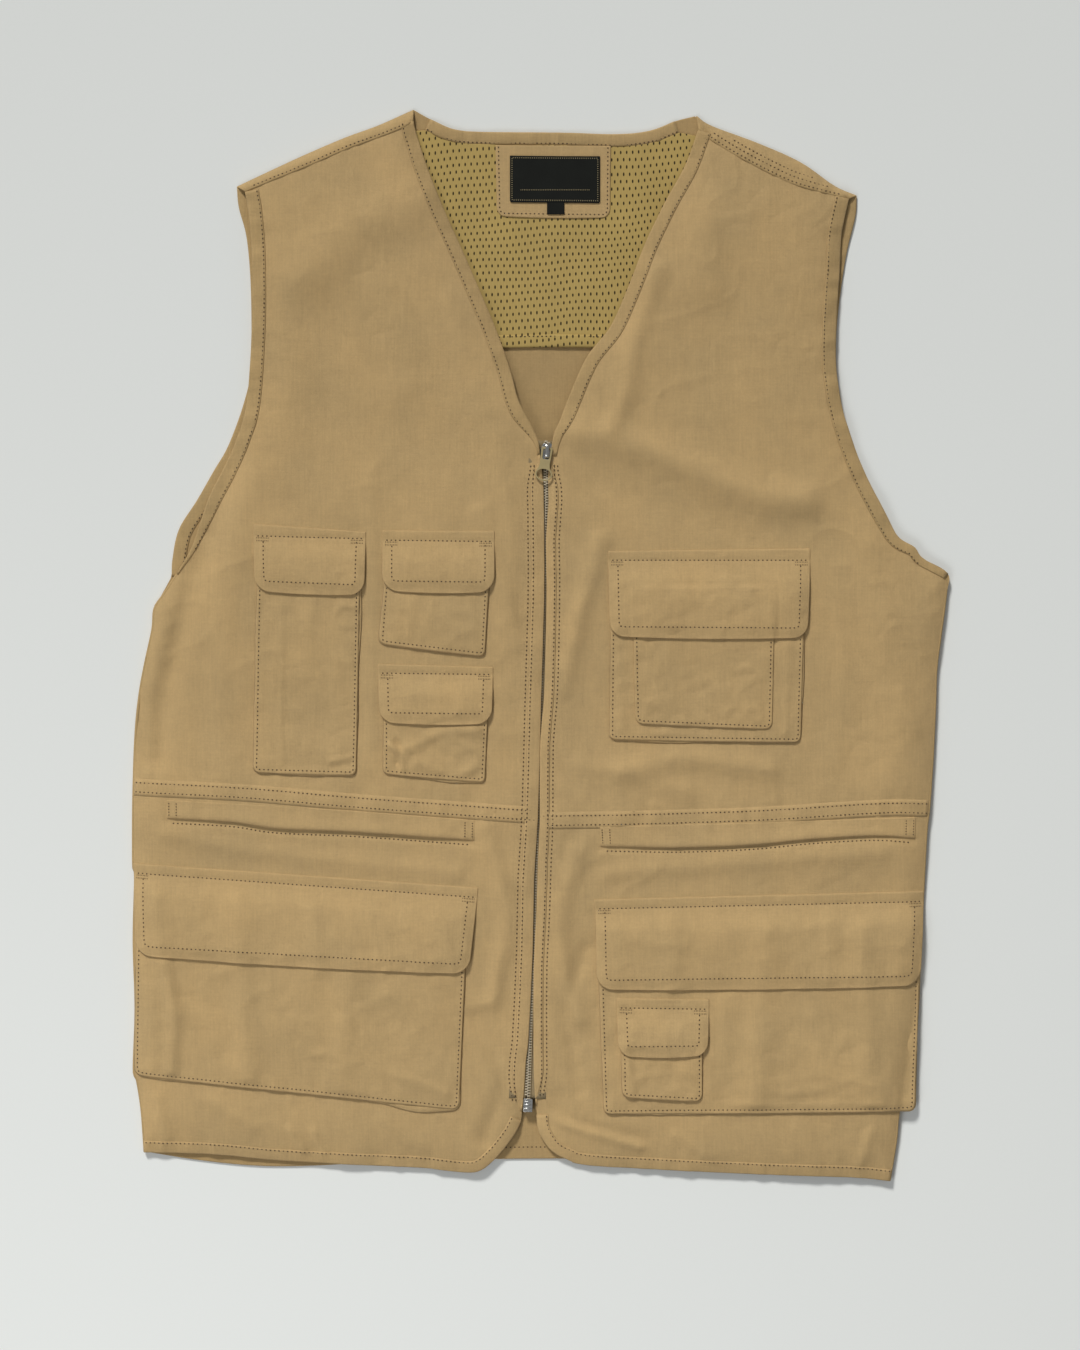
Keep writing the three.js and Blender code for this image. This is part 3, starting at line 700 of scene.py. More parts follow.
def stations(length, step, near=(0.7, 1.6, 2.9, 4.6)):
    """Fractions of a length, closer together near both ends."""
    near = [d for d in near if d < length / 2.5]
    start = near[-1] if near else 0
    middle = np.linspace(start, length - start, max(2, int((length - 2 * start) / step) + 1))
    ends = [0.0] + near[:-1]
    return np.concatenate([ends, middle, [length - d for d in reversed(ends)]]) / length


def rounded_quad(corners, radius, across, down, sag=0.0):
    """A grid over a four-cornered shape with rounded lower corners and a slightly bowed foot."""
    top_left, top_right, low_right, low_left = (np.array(c, float) for c in corners)
    drop = 0.5 * (np.linalg.norm(low_left - top_left) + np.linalg.norm(low_right - top_right))
    width = 0.5 * (np.linalg.norm(top_right - top_left) + np.linalg.norm(low_right - low_left))
    u = np.asarray(across)[None, :, None]
    v = np.asarray(down)[:, None, None]
    up = np.clip(radius - (1 - v) * drop, 0, radius)
    inset = (radius - np.sqrt(np.maximum(radius**2 - up**2, 0))) / width
    u = inset + u * (1 - 2 * inset)
    xy = (1 - v) * ((1 - u) * top_left + u * top_right) + v * ((1 - u) * low_left + u * low_right)
    bow = sag * 4 * (u * (1 - u)) * v**2
    return xy + (low_left - top_left) / drop * bow


def rounded_path(points, radius):
    """A line with its inner corners rounded."""
    p = [np.array(point, float) for point in points]
    path = [p[0]]
    for before, corner, after in zip(p, p[1:], p[2:]):
        back = (before - corner) / np.linalg.norm(before - corner) * radius
        forward = (after - corner) / np.linalg.norm(after - corner) * radius
        for t in np.linspace(0, 1, 7):
            path.append(corner + back * (1 - t) ** 2 + forward * t**2)
    path.append(p[-1])
    return np.array(path)


def sweep(shape, line, profile, height, turn=1, taper=None):
    """A solid strip whose section of (inset, lift) points runs along a line on the cloth."""
    share = np.ones(len(line)) if taper is None else taper
    side = normals(line) * turn * share[:, None]
    crumple = 1 + 0.46 * noise(line[:, 0], line[:, 1], 4.6, 79)
    rings = [raised(line + side * inset, height, lift * crumple) for inset, lift in profile]
    shape.tube(np.stack(rings, 1))


def band_profile(width, rise, drop=0.5, outside=0.35):
    """The section of a flat folded band with rounded edges."""
    return [
        (0.4, -drop), (-outside, -drop * 0.5), (-outside, rise * 0.4), (0.35, rise * 0.85), (1.3, rise),
        (width * 0.5, rise * 1.05), (width - 1.6, rise * 0.96), (width - 0.5, rise * 0.75),
        (width, rise * 0.1),
        (width - 0.6, -0.25), (width * 0.5, -0.3),
    ]


# One stitch, sized 1 along, across and up, and the share of the pitch that it covers.
STITCH_POINTS = np.array([
    (-0.5, 0, -0.5), (-0.3, -0.5, 0), (-0.3, 0, 0.55), (-0.3, 0.5, 0),
    (0.3, -0.5, 0), (0.3, 0, 0.55), (0.3, 0.5, 0), (0.5, 0, -0.5), (-0.3, 0, -0.5), (0.3, 0, -0.5),
])
STITCH_FACES = [
    (0, 1, 2), (0, 2, 3), (0, 3, 8), (0, 8, 1), (1, 4, 5), (1, 5, 2), (2, 5, 6), (2, 6, 3),
    (3, 6, 9), (3, 9, 8), (8, 9, 4), (8, 4, 1), (7, 5, 4), (7, 6, 5), (7, 9, 6), (7, 4, 9),
]
STITCH_COVER = 0.47
STITCH_HEIGHT = 0.55


def stitch_row(shape, line, height, pitch=None, seed=0, lift=0.0):
    """Topstitching along a line on the cloth."""
    pitch = pitch or sizes().stitch_pitch
    width = sizes().thread_width
    line = np.asarray(line, float)
    total = arc(line)[-1]
    count = int(total / pitch)
    if count < 1:
        return
    middle = (np.arange(count) + 0.5) / count
    centre = along(line, middle)
    ahead = along(line, np.clip(middle + 0.2 * pitch / total, 0, 1))
    behind = along(line, np.clip(middle - 0.2 * pitch / total, 0, 1))
    direction = ahead - behind
    direction /= np.linalg.norm(direction, axis=1, keepdims=True) + 1e-9
    wander = np.random.default_rng(seed + count).uniform(-0.06, 0.06, count)
    angle = np.cos(wander)[:, None] * direction
    direction = angle + np.sin(wander)[:, None] * np.stack([-direction[:, 1], direction[:, 0]], 1)
    across = np.stack([-direction[:, 1], direction[:, 0]], 1)
    local = STITCH_POINTS * (pitch * STITCH_COVER, width, STITCH_HEIGHT)
    xy = centre[:, None] + direction[:, None] * local[None, :, :1] + across[:, None] * local[None, :, 1:2]
    z = height(xy[..., 0], xy[..., 1]) + local[None, :, 2] + lift
    points = np.concatenate([xy, z[..., None]], -1)
    faces = np.array(STITCH_FACES)[None] + (np.arange(count) * len(STITCH_POINTS))[:, None, None]
    shape.add(points, faces.reshape(-1, 3))


# ---- finishes -----------------------------------------------------------
class Value:
    """A socket of a finish that takes part in ordinary arithmetic."""

    def __init__(self, finish, socket):
        self.finish = finish
        self.socket = socket

    def sum(self, operation, *terms):
        return self.finish.node("ShaderNodeMath", {"operation": operation}, dict(enumerate(terms)))

    def __add__(self, other):
        return self.sum("ADD", self, other)

    __radd__ = __add__

    def __sub__(self, other):
        return self.sum("SUBTRACT", self, other)

    def __rsub__(self, other):
        return self.sum("SUBTRACT", other, self)

    def __mul__(self, other):
        return self.sum("MULTIPLY", self, other)

    __rmul__ = __mul__

    def __truediv__(self, other):
        return self.sum("DIVIDE", self, other)

    def __abs__(self):
        return self.sum("ABSOLUTE", self)

    def part(self):
        return self.sum("FRACT", self)

    def floor(self):
        return self.sum("FLOOR", self)

    def sine(self):
        return self.sum("SINE", self)

    def ribs(self, pitch):
        """A wave along this value, one every pitch."""
        return (self * (2 * math.pi / pitch)).sine()

    def kept(self):
        """Held between 0 and 1."""
        return self.finish.node("ShaderNodeClamp", {}, {0: self})


class Finish:
    """One procedural material."""

    def __init__(self, name):
        self.material = bpy.data.materials.new(name)
        self.material.use_nodes = True
        self.tree = self.material.node_tree
        self.shader = self.tree.nodes["Principled BSDF"]

    def node(self, kind, settings, inputs, output=0):
        """Adds a node with its settings first, then its values and links, and gives one output."""
        made = self.tree.nodes.new(kind)
        for key, value in settings.items():
            setattr(made, key, value)
        for key, value in inputs.items():
            if isinstance(value, Value):
                self.tree.links.new(value.socket, made.inputs[key])
            else:
                made.inputs[key].default_value = value
        return Value(self, made.outputs[output])

    def place(self, scale=(1, 1, 1)):
        """Place on the piece in millimetres, stretched by scale."""
        here = self.node("ShaderNodeTexCoord", {}, {}, "Object")
        scaled = tuple(s / MM for s in scale)
        return self.node("ShaderNodeVectorMath", {"operation": "MULTIPLY"}, {0: here, 1: scaled})

    def axes(self):
        """Places across and up the piece in millimetres."""
        across = self.node("ShaderNodeSeparateXYZ", {}, {0: self.place()}, "X")
        return across, Value(self, across.socket.node.outputs["Y"])

    def grain(self, size, detail=2.0, roughness=0.5, seed=0.0):
        """Noise from 0 to 1 whose hills are about size millimetres along each axis."""
        place = self.place(tuple(1 / s for s in size))
        settings = {"noise_dimensions": "4D"}
        values = {"Vector": place, "W": seed, "Scale": 1.0, "Detail": detail, "Roughness": roughness}
        return self.node("ShaderNodeTexNoise", settings, values, "Fac")

    def tint(self, colour, amount):
        """A colour made lighter or darker by an amount round 1."""
        base = colour if isinstance(colour, Value) else tuple(colour)[:3]
        return self.node("ShaderNodeVectorMath", {"operation": "SCALE"}, {0: base, "Scale": amount})

    def mix(self, first, second, share):
        names = {0: share, 6: self.full(first), 7: self.full(second)}
        return self.node("ShaderNodeMix", {"data_type": "RGBA"}, names, 2)

    @staticmethod
    def full(colour):
        return colour if isinstance(colour, Value) else (*tuple(colour)[:3], 1.0)

    def bump(self, height, distance, strength=1.0):
        values = {"Strength": strength, "Distance": distance * MM, "Height": height}
        return self.node("ShaderNodeBump", {}, values)

    def set(self, **sockets):
        """Sets or links the shader's own sockets."""
        for name, value in sockets.items():
            socket = self.shader.inputs[name.replace("_", " ").title().replace("Ior", "IOR")]
            if isinstance(value, Value):
                self.tree.links.new(value.socket, socket)
            else:
                socket.default_value = value
        return self.material


def woven(name, colour, slub=0.23, mottle=0.25, bump=0.30, thread=0.62, seed=0.0):
    """Washed cotton poplin: fine plain weave, slubs along both threads and faded patches."""
    finish = Finish(name)
    x, y = finish.axes()
    weft = finish.grain((13, 1.1, 6), 3, 0.6, seed)
    warp = finish.grain((0.9, 20, 6), 3, 0.6, seed + 1)
    fleck = finish.grain((1.6, 1.6, 1.6), 2, 0.7, seed + 2)
    cloud = finish.grain((46, 60, 40), 4, 0.55, seed + 3)
    patch = finish.grain((9, 12, 9), 3, 0.6, seed + 4)
    over = x.ribs(thread) * y.ribs(thread)
    shade = 1 + (weft - 0.5) * (slub * 0.6) + (warp - 0.5) * slub + (fleck - 0.5) * 0.22
    shade = shade + (cloud - 0.5) * mottle + (patch - 0.5) * 0.17 + over * 0.015
    warm = finish.mix(colour, [c * k for c, k in zip(colour, (1.04, 0.98, 0.90))], cloud)
    base = finish.tint(warm, shade)
    relief = over * 0.35 + weft * 0.5 + warp * 0.5 + fleck * 0.35 + patch * 2.2
    rough = 0.86 + (patch - 0.5) * 0.10 + (fleck - 0.5) * 0.08
    finish.shader.inputs["Sheen Weight"].default_value = 0.08
    finish.shader.inputs["Sheen Roughness"].default_value = 0.5
    finish.shader.inputs["Specular IOR Level"].default_value = 0.22
    return finish.set(base_color=base, roughness=rough, normal=finish.bump(relief, bump, 0.8))


def mesh_knit(name, colour):
    """Knitted mesh: staggered oval holes, painted nearly black as painted shade in them and on the cloth
    behind.
    """
    finish = Finish(name)
    x, y = finish.axes()
    wide, tall = 4.2, 4.9
    half_wide, half_tall = 0.62, 1.35
    bow = finish.grain((55, 55, 55), 1, 0.5, 9.0)
    rows = (y - x * 0.07 + bow * 9) / tall
    shifted = x / wide + rows.floor() * 0.5
    across = (shifted.part() - 0.5) * (wide / half_wide)
    down = (rows.part() - 0.5) * (tall / half_tall)
    reach = across * across + down * down
    wander = finish.grain((2.4, 2.4, 2.4), 2, 0.6)
    hole = ((1.0 - reach + (wander - 0.5) * 0.7) * 2.2).kept()
    ribs = x.ribs(1.05) * 0.5 + 0.5
    cloud = finish.grain((22, 30, 22), 3, 0.5, 2.0)
    shade = 0.93 + ribs * 0.10 + (cloud - 0.5) * 0.22 + (wander - 0.5) * 0.12
    knit = finish.tint(colour, shade)
    # Painted shade: each hole is coloured nearly black for the shade that falls in it and behind it.
    base = finish.mix(knit, [c * 0.07 for c in colour], hole)
    relief = (1 - hole) * 1.0 + ribs * 0.25
    rough = 0.80 + (wander - 0.5) * 0.12
    finish.shader.inputs["Specular IOR Level"].default_value = 0.25
    return finish.set(base_color=base, roughness=rough, normal=finish.bump(relief, 0.30, 0.9))


def label_weave(name, colour):
    """Dense black damask."""
    finish = Finish(name)
    x, y = finish.axes()
    ribs = y.ribs(0.55)
    fleck = finish.grain((1.4, 0.5, 1), 2, 0.6)
    cloud = finish.grain((12, 12, 12), 2, 0.5)
    shade = 0.9 + (fleck - 0.5) * 0.7 + (cloud - 0.5) * 0.5 + ribs * 0.08
    rough = 0.82 + (fleck - 0.5) * 0.2
    finish.shader.inputs["Specular IOR Level"].default_value = 0.16
    base = finish.tint(colour, shade)
    return finish.set(base_color=base, roughness=rough, normal=finish.bump(ribs * 0.5 + fleck, 0.06))


def twisted_thread(name, colour):
    """Sewing thread with a fine twist."""
    finish = Finish(name)
    x, y = finish.axes()
    twist = (x + y).ribs(0.45)
    cloud = finish.grain((7, 7, 7), 2, 0.5)
    shade = 1 + (cloud - 0.5) * 0.3 + twist * 0.05
    rough = 0.70 + (cloud - 0.5) * 0.15
    base = finish.tint(colour, shade)
    return finish.set(base_color=base, roughness=rough, normal=finish.bump(twist, 0.04))


def herringbone(name, colour):
    """Zip tape: narrow herringbone weave."""
    finish = Finish(name)
    x, y = finish.axes()
    zigzag = abs((x / 2.2).part() - 0.5)
    ribs = (y + zigzag * 3.0).ribs(0.7)
    fleck = finish.grain((1.2, 1.2, 1.2), 2, 0.6)
    shade = 0.96 + ribs * 0.10 + (fleck - 0.5) * 0.2
    rough = 0.78 + (fleck - 0.5) * 0.1
    base = finish.tint(colour, shade)
    return finish.set(base_color=base, roughness=rough, normal=finish.bump(ribs + fleck, 0.08))


def nap(name, colour):
    """Hook and loop tape: short dense nap in rows."""
    finish = Finish(name)
    x, y = finish.axes()
    rows = x.ribs(1.6) * y.ribs(1.3)
    fuzz = finish.grain((0.5, 0.5, 0.5), 3, 0.7)
    clump = finish.grain((3, 3, 3), 2, 0.6)
    shade = 0.92 + rows * 0.10 + (fuzz - 0.5) * 0.5 + (clump - 0.5) * 0.2
    rough = 0.92 + (fuzz - 0.5) * 0.1
    base = finish.tint(colour, shade)
    return finish.set(base_color=base, roughness=rough, normal=finish.bump(fuzz + rows * 0.6, 0.25))


def moulded(name, colour):
    """Moulded resin with a slight sheen."""
    finish = Finish(name)
    fleck = finish.grain((0.8, 0.8, 0.8), 2, 0.5)
    cloud = finish.grain((14, 14, 14), 2, 0.5)
    shade = 1 + (fleck - 0.5) * 0.15 + (cloud - 0.5) * 0.25
    rough = 0.40 + (fleck - 0.5) * 0.2
    base = finish.tint(colour, shade)
    return finish.set(base_color=base, roughness=rough, normal=finish.bump(fleck, 0.02))


def enamel(name, colour, metal):
    """Tan enamel, rubbed through to metal in small chips."""
    finish = Finish(name)
    chips = finish.grain((1.5, 1.5, 1.5), 4, 0.65, 3.0)
    cloud = finish.grain((5, 5, 5), 2, 0.5)
    bare = ((chips - 0.70) * 14).kept()
    coat = finish.tint(colour, 0.95 + (cloud - 0.5) * 0.3)
    base = finish.mix(coat, metal, bare)
    rough = 0.36 + (cloud - 0.5) * 0.15 - bare * 0.05
    relief = 1 - bare * 0.5
    return finish.set(base_color=base, metallic=bare, roughness=rough, normal=finish.bump(relief, 0.03))


def plated(name, colour):
    """Nickel plate with fine scratches."""
    finish = Finish(name)
    scratch = finish.grain((0.25, 5, 5), 3, 0.7)
    dull = finish.grain((3, 3, 3), 3, 0.6, 5.0)
    shade = 0.90 + (dull - 0.5) * 0.3
    rough = 0.26 + (scratch - 0.5) * 0.18 + (dull - 0.5) * 0.16
    finish.shader.inputs["Metallic"].default_value = 1.0
    base = finish.tint(colour, shade)
    return finish.set(base_color=base, roughness=rough, normal=finish.bump(scratch, 0.01))


def seamless_paper(name, colour):
    """The pale floor."""
    finish = Finish(name)
    tooth = finish.grain((2.5, 2.5, 2.5), 2, 0.5)
    cloud = finish.grain((500, 500, 500), 2, 0.5)
    shade = 0.995 + (tooth - 0.5) * 0.012 + (cloud - 0.5) * 0.012
    rough = 0.94 + (tooth - 0.5) * 0.04
    finish.shader.inputs["Specular IOR Level"].default_value = 0.1
    return finish.set(base_color=finish.tint(colour, shade), roughness=rough)


MADE = {}


def finish_of(name):
    """The material of one cloth, thread or metal, made when it is first asked for."""
    if name not in MADE:
        c = colours()
        makers = {
            "shell": lambda: woven("washed_cotton_poplin", c.shell),
            "shell_low": lambda: woven("washed_cotton_poplin_lower", c.shell, seed=17.0),
            "flap": lambda: woven("washed_cotton_flap", c.shell, mottle=0.18, seed=31.0),
            "binding": lambda: woven("bias_cotton_binding", c.binding, slub=0.32, seed=47.0),
            "inner": lambda: woven("cotton_poplin_inside", c.inner, mottle=0.26, seed=63.0),
            "mesh": lambda: mesh_knit("yoke_mesh", c.mesh),
            "label": lambda: label_weave("black_label_damask", c.label),
            "border": lambda: twisted_thread("label_border_thread", c.border),
            # The thread's dark colour is partly painted shade of the needle holes.
            "thread": lambda: twisted_thread("topstitch_thread_with_painted_hole_shade", c.thread),
            "tape": lambda: herringbone("zip_tape_weave", c.tape),
            "tooth": lambda: moulded("moulded_zip_teeth", c.tooth),
            "pad": lambda: nap("hook_and_loop_nap", c.pad),
            "pull": lambda: enamel("tan_enamel_pull", c.pull, c.metal),
            "metal": lambda: plated("plated_zip_metal", c.metal),
            "floor": lambda: seamless_paper("pale_studio_floor", c.floor),
        }
        MADE[name] = makers[name]()
    return MADE[name]


# ---- fixing pieces to the frame -----------------------------------------
def at(x, y, z):
    return (x * MM, y * MM, z * MM)


# Above the waist each front is still sewn to the back at the shoulder, so it bends from there.
BENDS = {
    "right": ("root", "right_front", (-150, 340), (0.384, -0.923), 225),
    "left": ("root", "left_front", (160, 332), (-0.41, -0.912), 200),
}


def bend(side):
    """The move of a piece that goes with a front from the back's shoulder: two bodies and two points; nothing
    bends by it.
    """
    fixed, moving, start, direction, length = BENDS[side]
    finish = [start[k] + direction[k] * length for k in (0, 1)]
    return (fixed, moving, at(*start, FRONT_LEVEL), at(*finish, FRONT_LEVEL))


def attach(piece, move, replaces=()):
    """Fixes a piece to a body; given a move instead, only bakes its place into its mesh. Hides the parts that
    it replaces.
    """
    if isinstance(move, str):
        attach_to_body(piece, move)
    else:
        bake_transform(piece)
    if replaces:
        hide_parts(*replaces)


def fit(shape, name, finish, move, replaces=(), closed=True):
    """Builds a shape as one piece in its finish and fixes it to a body, or only bakes its place when given a
    move.
    """
    piece = shape.build(name, finish_of(finish), closed)
    attach(piece, move, replaces)
    return piece


def cloth_area(piece, closed):
    area = sum(polygon.area for polygon in piece.data.polygons)
    return area / 2 if closed else area


# Least share of a flat sheet that may be left after its cut-outs.
LEAST_SHARE = 0.31


def declare(piece, flat, closed=True):
    """Works out the area that a sheet of cloth was cut to, from its size in millimetres; the result is not
    used.
    """
    width, length = flat[0] * MM, flat[1] * MM
    cut = min(max(cloth_area(piece, closed), LEAST_SHARE * width * length), width * length)


# ---- fronts -------------------------------------------------------------
PANEL_ENDS = (0.8, 1.8, 3.2)
LINE_STEP = 2.5
THREAD_INSET = 1.4
TURNED_IN = 14.0  # cloth that a binding turns in at its two sides together


def front_lines(side):
    """The smoothed edges of a front's chest and skirt."""
    cut = PATTERN[side]
    lines = {name: catmull(cut[name]) for name in ("seam", "hem", "side_low", "zip_low")}
    lines["outer"] = catmull(cut["arm"] + cut["side"][1:])
    lines["inner"] = catmull(cut["neck"] + cut["zip"][1:])
    lines["waist"] = catmull(cut["waist"]) - (0, 0.5 * WAIST_BAND)
    lines["waist"][0] = lines["outer"][-1]
    lines["waist"][-1] = lines["inner"][-1]
    return lines


def make_front(side):
    """The chest and skirt of one front, cut to the pattern and laid over the back."""
    step = sizes().cloth_step
    line = front_lines(side)
    across = stations(275, step, PANEL_ENDS)
    low = f"{side}_front"
    panels = {
        "chest": ("seam", "waist", "outer", "inner", "shell", bend(side), 470, (300, 500)),
        "skirt": ("waist", "hem", "side_low", "zip_low", "shell_low", low, 250, (300, 270)),
    }
    for name, (top, bottom, outer, inner, finish, move, drop, cut) in panels.items():
        down = stations(drop, step * 1.1, PANEL_ENDS)
        xy = coons(line[top], line[bottom], line[outer], line[inner], across, down)
        shape = Shape()
        shape.grid(raised(xy, FRONTS[side]))
        panel = [f"{side}_{name}_panel"]
        piece = fit(shape, f"{side}_{name}_cloth", finish, move, replaces=panel, closed=False)
        declare(piece, cut, closed=False)


def make_front_trim(side):
    """Waist band, hem, placket and their topstitching on one front."""
    cut = PATTERN[side]
    turn = cut["turn"]
    height = FRONTS[side]
    lines = front_lines(side)
    hem_depth = sizes().hem_depth
    waist = even(along(lines["waist"], np.linspace(0.004, 0.996, 90)), 3)
    hem = even(lines["hem"], LINE_STEP)
    placket = even(along(PLACKETS[side], np.linspace(0.0, 0.985, 200)), 3)
    from_ends = np.minimum(arc(placket), arc(placket)[-1] - arc(placket))
    ends = 0.16 + 0.84 * smooth(from_ends / 26)
    half = 0.5 * WAIST_BAND + 2.6
    band = [
        (half, -0.2), (half, 0.04), (half - 2.2, 0.3), (0, 0.26),
        (2.2 - half, 0.3), (-half, 0.04), (-half, -0.2),
    ]
    strips = Shape()
    sweep(strips, waist, band, height)
    sweep(strips, hem, band_profile(hem_depth, 0.55, 0.9), height, turn)
    sweep(strips, placket, band_profile(cut["placket"], 0.55, 0.4, 0.2), height, -turn, ends)
    fit(strips, f"{side}_seam_bands", "shell_low", f"{side}_front")
    rows = Shape()
    for k, drop in enumerate((-0.5, 0.5)):
        stitch_row(rows, offset(waist, drop * WAIST_BAND * 0.93), height, seed=k, lift=0.34)
    stitch_row(rows, offset(hem, turn * (hem_depth - 1.3)), height, seed=5, lift=0.55)
    for k, (inset, lift) in enumerate(zip(cut["placket_rows"], (0.62, 0.14))):
        line = placket - normals(placket) * turn * (inset * (0.5 + 0.5 * ends))[:, None]
        stitch_row(rows, line[2:-2], height, seed=10 + k, lift=lift)
    fit(rows, f"{side}_seam_stitching", "thread", f"{side}_front")


def make_front_bindings(side):
    """The bound neck edge and armhole of one front."""
    cut = PATTERN[side]
    height = FRONTS[side]
    bands = (
        {
            "edge": "neck", "piece": "neck_binding", "node": "neck_binding",
            "width": sizes().neck_binding, "way": -cut["turn"], "end": cut["neck_end"], "fade": 36,
            "rise": 0.7, "drop": 1.0, "length": 290, "short": 6, "seed": 21, "lift": 0.66,
        },
        {
            "edge": "arm", "piece": "armhole_binding", "node": "front_armhole_binding",
            "width": sizes().arm_binding, "way": cut["turn"], "end": cut["arm_end"], "fade": 70,
            "rise": 0.8, "drop": 1.2, "length": 300, "short": 8, "seed": 23, "lift": 0.80,
        },
    )
    rows = Shape()
    for band in bands:
        width, way = band["width"], band["way"]
        line = even(catmull(cut[band["edge"]]), LINE_STEP)
        left_over = np.clip((arc(line)[-1] - arc(line)) / band["fade"], 0, 1)
        taper = band["end"] + (1 - band["end"]) * smooth(left_over)
        strip = Shape()
        sweep(strip, line, band_profile(width, band["rise"], band["drop"]), height, way, taper)
        name = f"{side}_{band['piece']}_cloth"
        piece = fit(strip, name, "binding", bend(side), replaces=[f"{side}_{band['node']}"])
        declare(piece, (2 * width + TURNED_IN, band["length"]))
        row = line + normals(line) * way * ((width - THREAD_INSET) * taper)[:, None]
        stitch_row(rows, row[:-band["short"]], height, seed=band["seed"], lift=band["lift"])
    fit(rows, f"{side}_binding_stitching", "thread", bend(side))


# ---- back ---------------------------------------------------------------
def make_back():
    """The back and its hem."""
    step = sizes().back_step
    right, left = PATTERN["right"], PATTERN["left"]
    top = [catmull(right["shoulder"]), catmull(BACK_NECK)[1:], catmull(left["shoulder"])[::-1][1:]]
    first = np.vstack([catmull(right["back_arm"]), catmull(right["side"][2:] + right["side_low"][1:])])
    last = np.vstack([catmull(left["back_arm"]), catmull(left["side"][1:] + left["side_low"][1:])[:-2]])
    bottom = catmull(BACK_HEM)
    bottom[-1] = last[-1]
    xy = coons(np.vstack(top), bottom, first, last, stations(560, step), stations(740, step))
    sheet = sheet_between(xy, back_height, level(0.05), 0.2)
    back = fit(sheet, "back_cloth", "inner", "root", replaces=["back_panel"])
    declare(back, (580, 760))
    rows = Shape()
    hem = even(offset(bottom, 8.0), 4)
    stitch_row(rows, hem[2:-2], back_height, seed=31)
    fit(rows, "back_hem_stitching", "thread", "root")


SHOULDER_FOOT = 1.3
SHOULDER_ROLL = 2.4


def make_shoulder(side):
    """The front's shoulder strip, rolling over the fold to the back."""
    cut = PATTERN[side]
    seam = catmull(cut["seam"])
    edge = catmull(cut["shoulder"])
    across = stations(135, 2.5)
    share = np.linspace(0, 1, 14)[:, None]
    xy = (1 - share[..., None]) * along(seam, across) + share[..., None] * along(edge, across)
    run = (seam[-1] - seam[0]) / np.linalg.norm(seam[-1] - seam[0])

    def rolled(x, y, start, share):
        gathers = noise(x * run[0] + y * run[1], (y * run[0] - x * run[1]) * 0.22, 4.2, 71)
        roll = 1 - share**SHOULDER_ROLL
        return SHOULDER_FOOT + (start - SHOULDER_FOOT) * roll + cut["gather"] * gathers * roll

    start = FRONTS[side](xy[:1, :, 0], xy[:1, :, 1]) + 0.45
    top = rolled(xy[..., 0], xy[..., 1], start, share)[..., None]
    shape = Shape()
    shape.pillow(np.concatenate([xy, top], -1), np.concatenate([xy, top - 0.8], -1), 0.25)
    panel = [f"{side}_shoulder_panel"]
    piece = fit(shape, f"{side}_shoulder_cloth", "binding", "root", replaces=panel)
    declare(piece, (30, 145))
    order = np.argsort(seam[:, 0])
    seam_level = FRONTS[side](seam[:, 0], seam[:, 1])[order] + 0.45

    def surface(x, y):
        low = distance_to(seam, x, y)
        high = distance_to(edge, x, y)
        return rolled(x, y, np.interp(x, seam[order, 0], seam_level), low / (low + high + 1e-6))

    rows = Shape()
    for k, inset in enumerate(cut["shoulder_rows"]):
        line = offset(even(seam, 3), cut["turn"] * inset)[2:-3]
        low = distance_to(seam, line[:, 0], line[:, 1])
        high = distance_to(edge, line[:, 0], line[:, 1])
        stitch_row(rows, line[high > 0.35 * low + 0.8], surface, seed=40 + k, lift=0.02)
    fit(rows, f"{side}_shoulder_stitching", "thread", "root")


def make_side_seam(side):
    """The side seam, from the back's edge up to the front's."""
    cut = PATTERN[side]
    line = even(catmull(cut["side"] + cut["side_low"][1:]), 3)
    front = FRONTS[side](line[:, 0], line[:, 1])
    inward = normals(line) * cut["turn"]
    section = [
        (1.5, 0.0), (0.2, 0.0), (-0.35, 0.25), (-0.5, 0.6), (-0.1, 0.95), (0.9, 1.08), (1.8, 0.9),
        (1.9, 0.4),
    ]
    rings = []
    for inset, share in section:
        rise = 0.7 + (front + 0.25 - 0.7) * share
        rings.append(np.concatenate([line + inward * inset, rise[:, None]], 1))
    shape = Shape()
    shape.tube(np.stack(rings, 1))
    where = line[len(line) // 2]
    move = ("root", f"{side}_front", at(*where, 1.0), at(*where, 3.4))
    fit(shape, f"{side}_side_seam_cloth", "binding", move, replaces=[f"{side}_side_seam"])


def make_back_bindings():
    """Bindings of the back's neck and armholes."""
    neck_width = sizes().neck_binding
    arm_width = sizes().arm_binding
    neck = ("back_neck_binding_cloth", "back_neck_binding", BACK_NECK[1:-1])
    bands = [(*neck, neck_width, -1, 1.55, 0.2, 200, 51, 1.55)]
    for side in SIDES:
        arm = (f"{side}_back_armhole_cloth", f"{side}_back_armhole_binding", PATTERN[side]["back_arm"])
        bands.append((*arm, arm_width, PATTERN[side]["turn"], 0.75, 0.4, 300, 53, 0.78))
    rows = Shape()
    for name, node, points, width, turn, rise, drop, length, seed, lift in bands:
        line = even(catmull(points), LINE_STEP)
        band = Shape()
        sweep(band, line, band_profile(width, rise, drop, 0.2), back_height, turn)
        piece = fit(band, name, "binding", "root", replaces=[node])
        declare(piece, (2 * width + TURNED_IN, length))
        stitch_row(rows, offset(line, turn * (width - THREAD_INSET)), back_height, seed=seed, lift=lift)
    fit(rows, "back_binding_stitching", "thread", "root")


# ---- yoke lining and label ----------------------------------------------
LABEL_PATCH = [(-31, 350.5), (49.5, 350), (49, 300), (-30, 301)]
LABEL = [(-21, 343), (42, 342.5), (42, 310), (-21, 310.5)]
LABEL_INWARD = ((1, -1), (-1, -1), (-1, 1), (1, 1))
SIZE_TAB = [(5, 310.5), (17, 310.5), (17, 302), (5, 302)]


def patch_height(x, y):
    """The upper face of the patch that carries the label."""
    return lining_height(x, y) + 0.75 + 0.15 * noise(x, y, 12, 81)


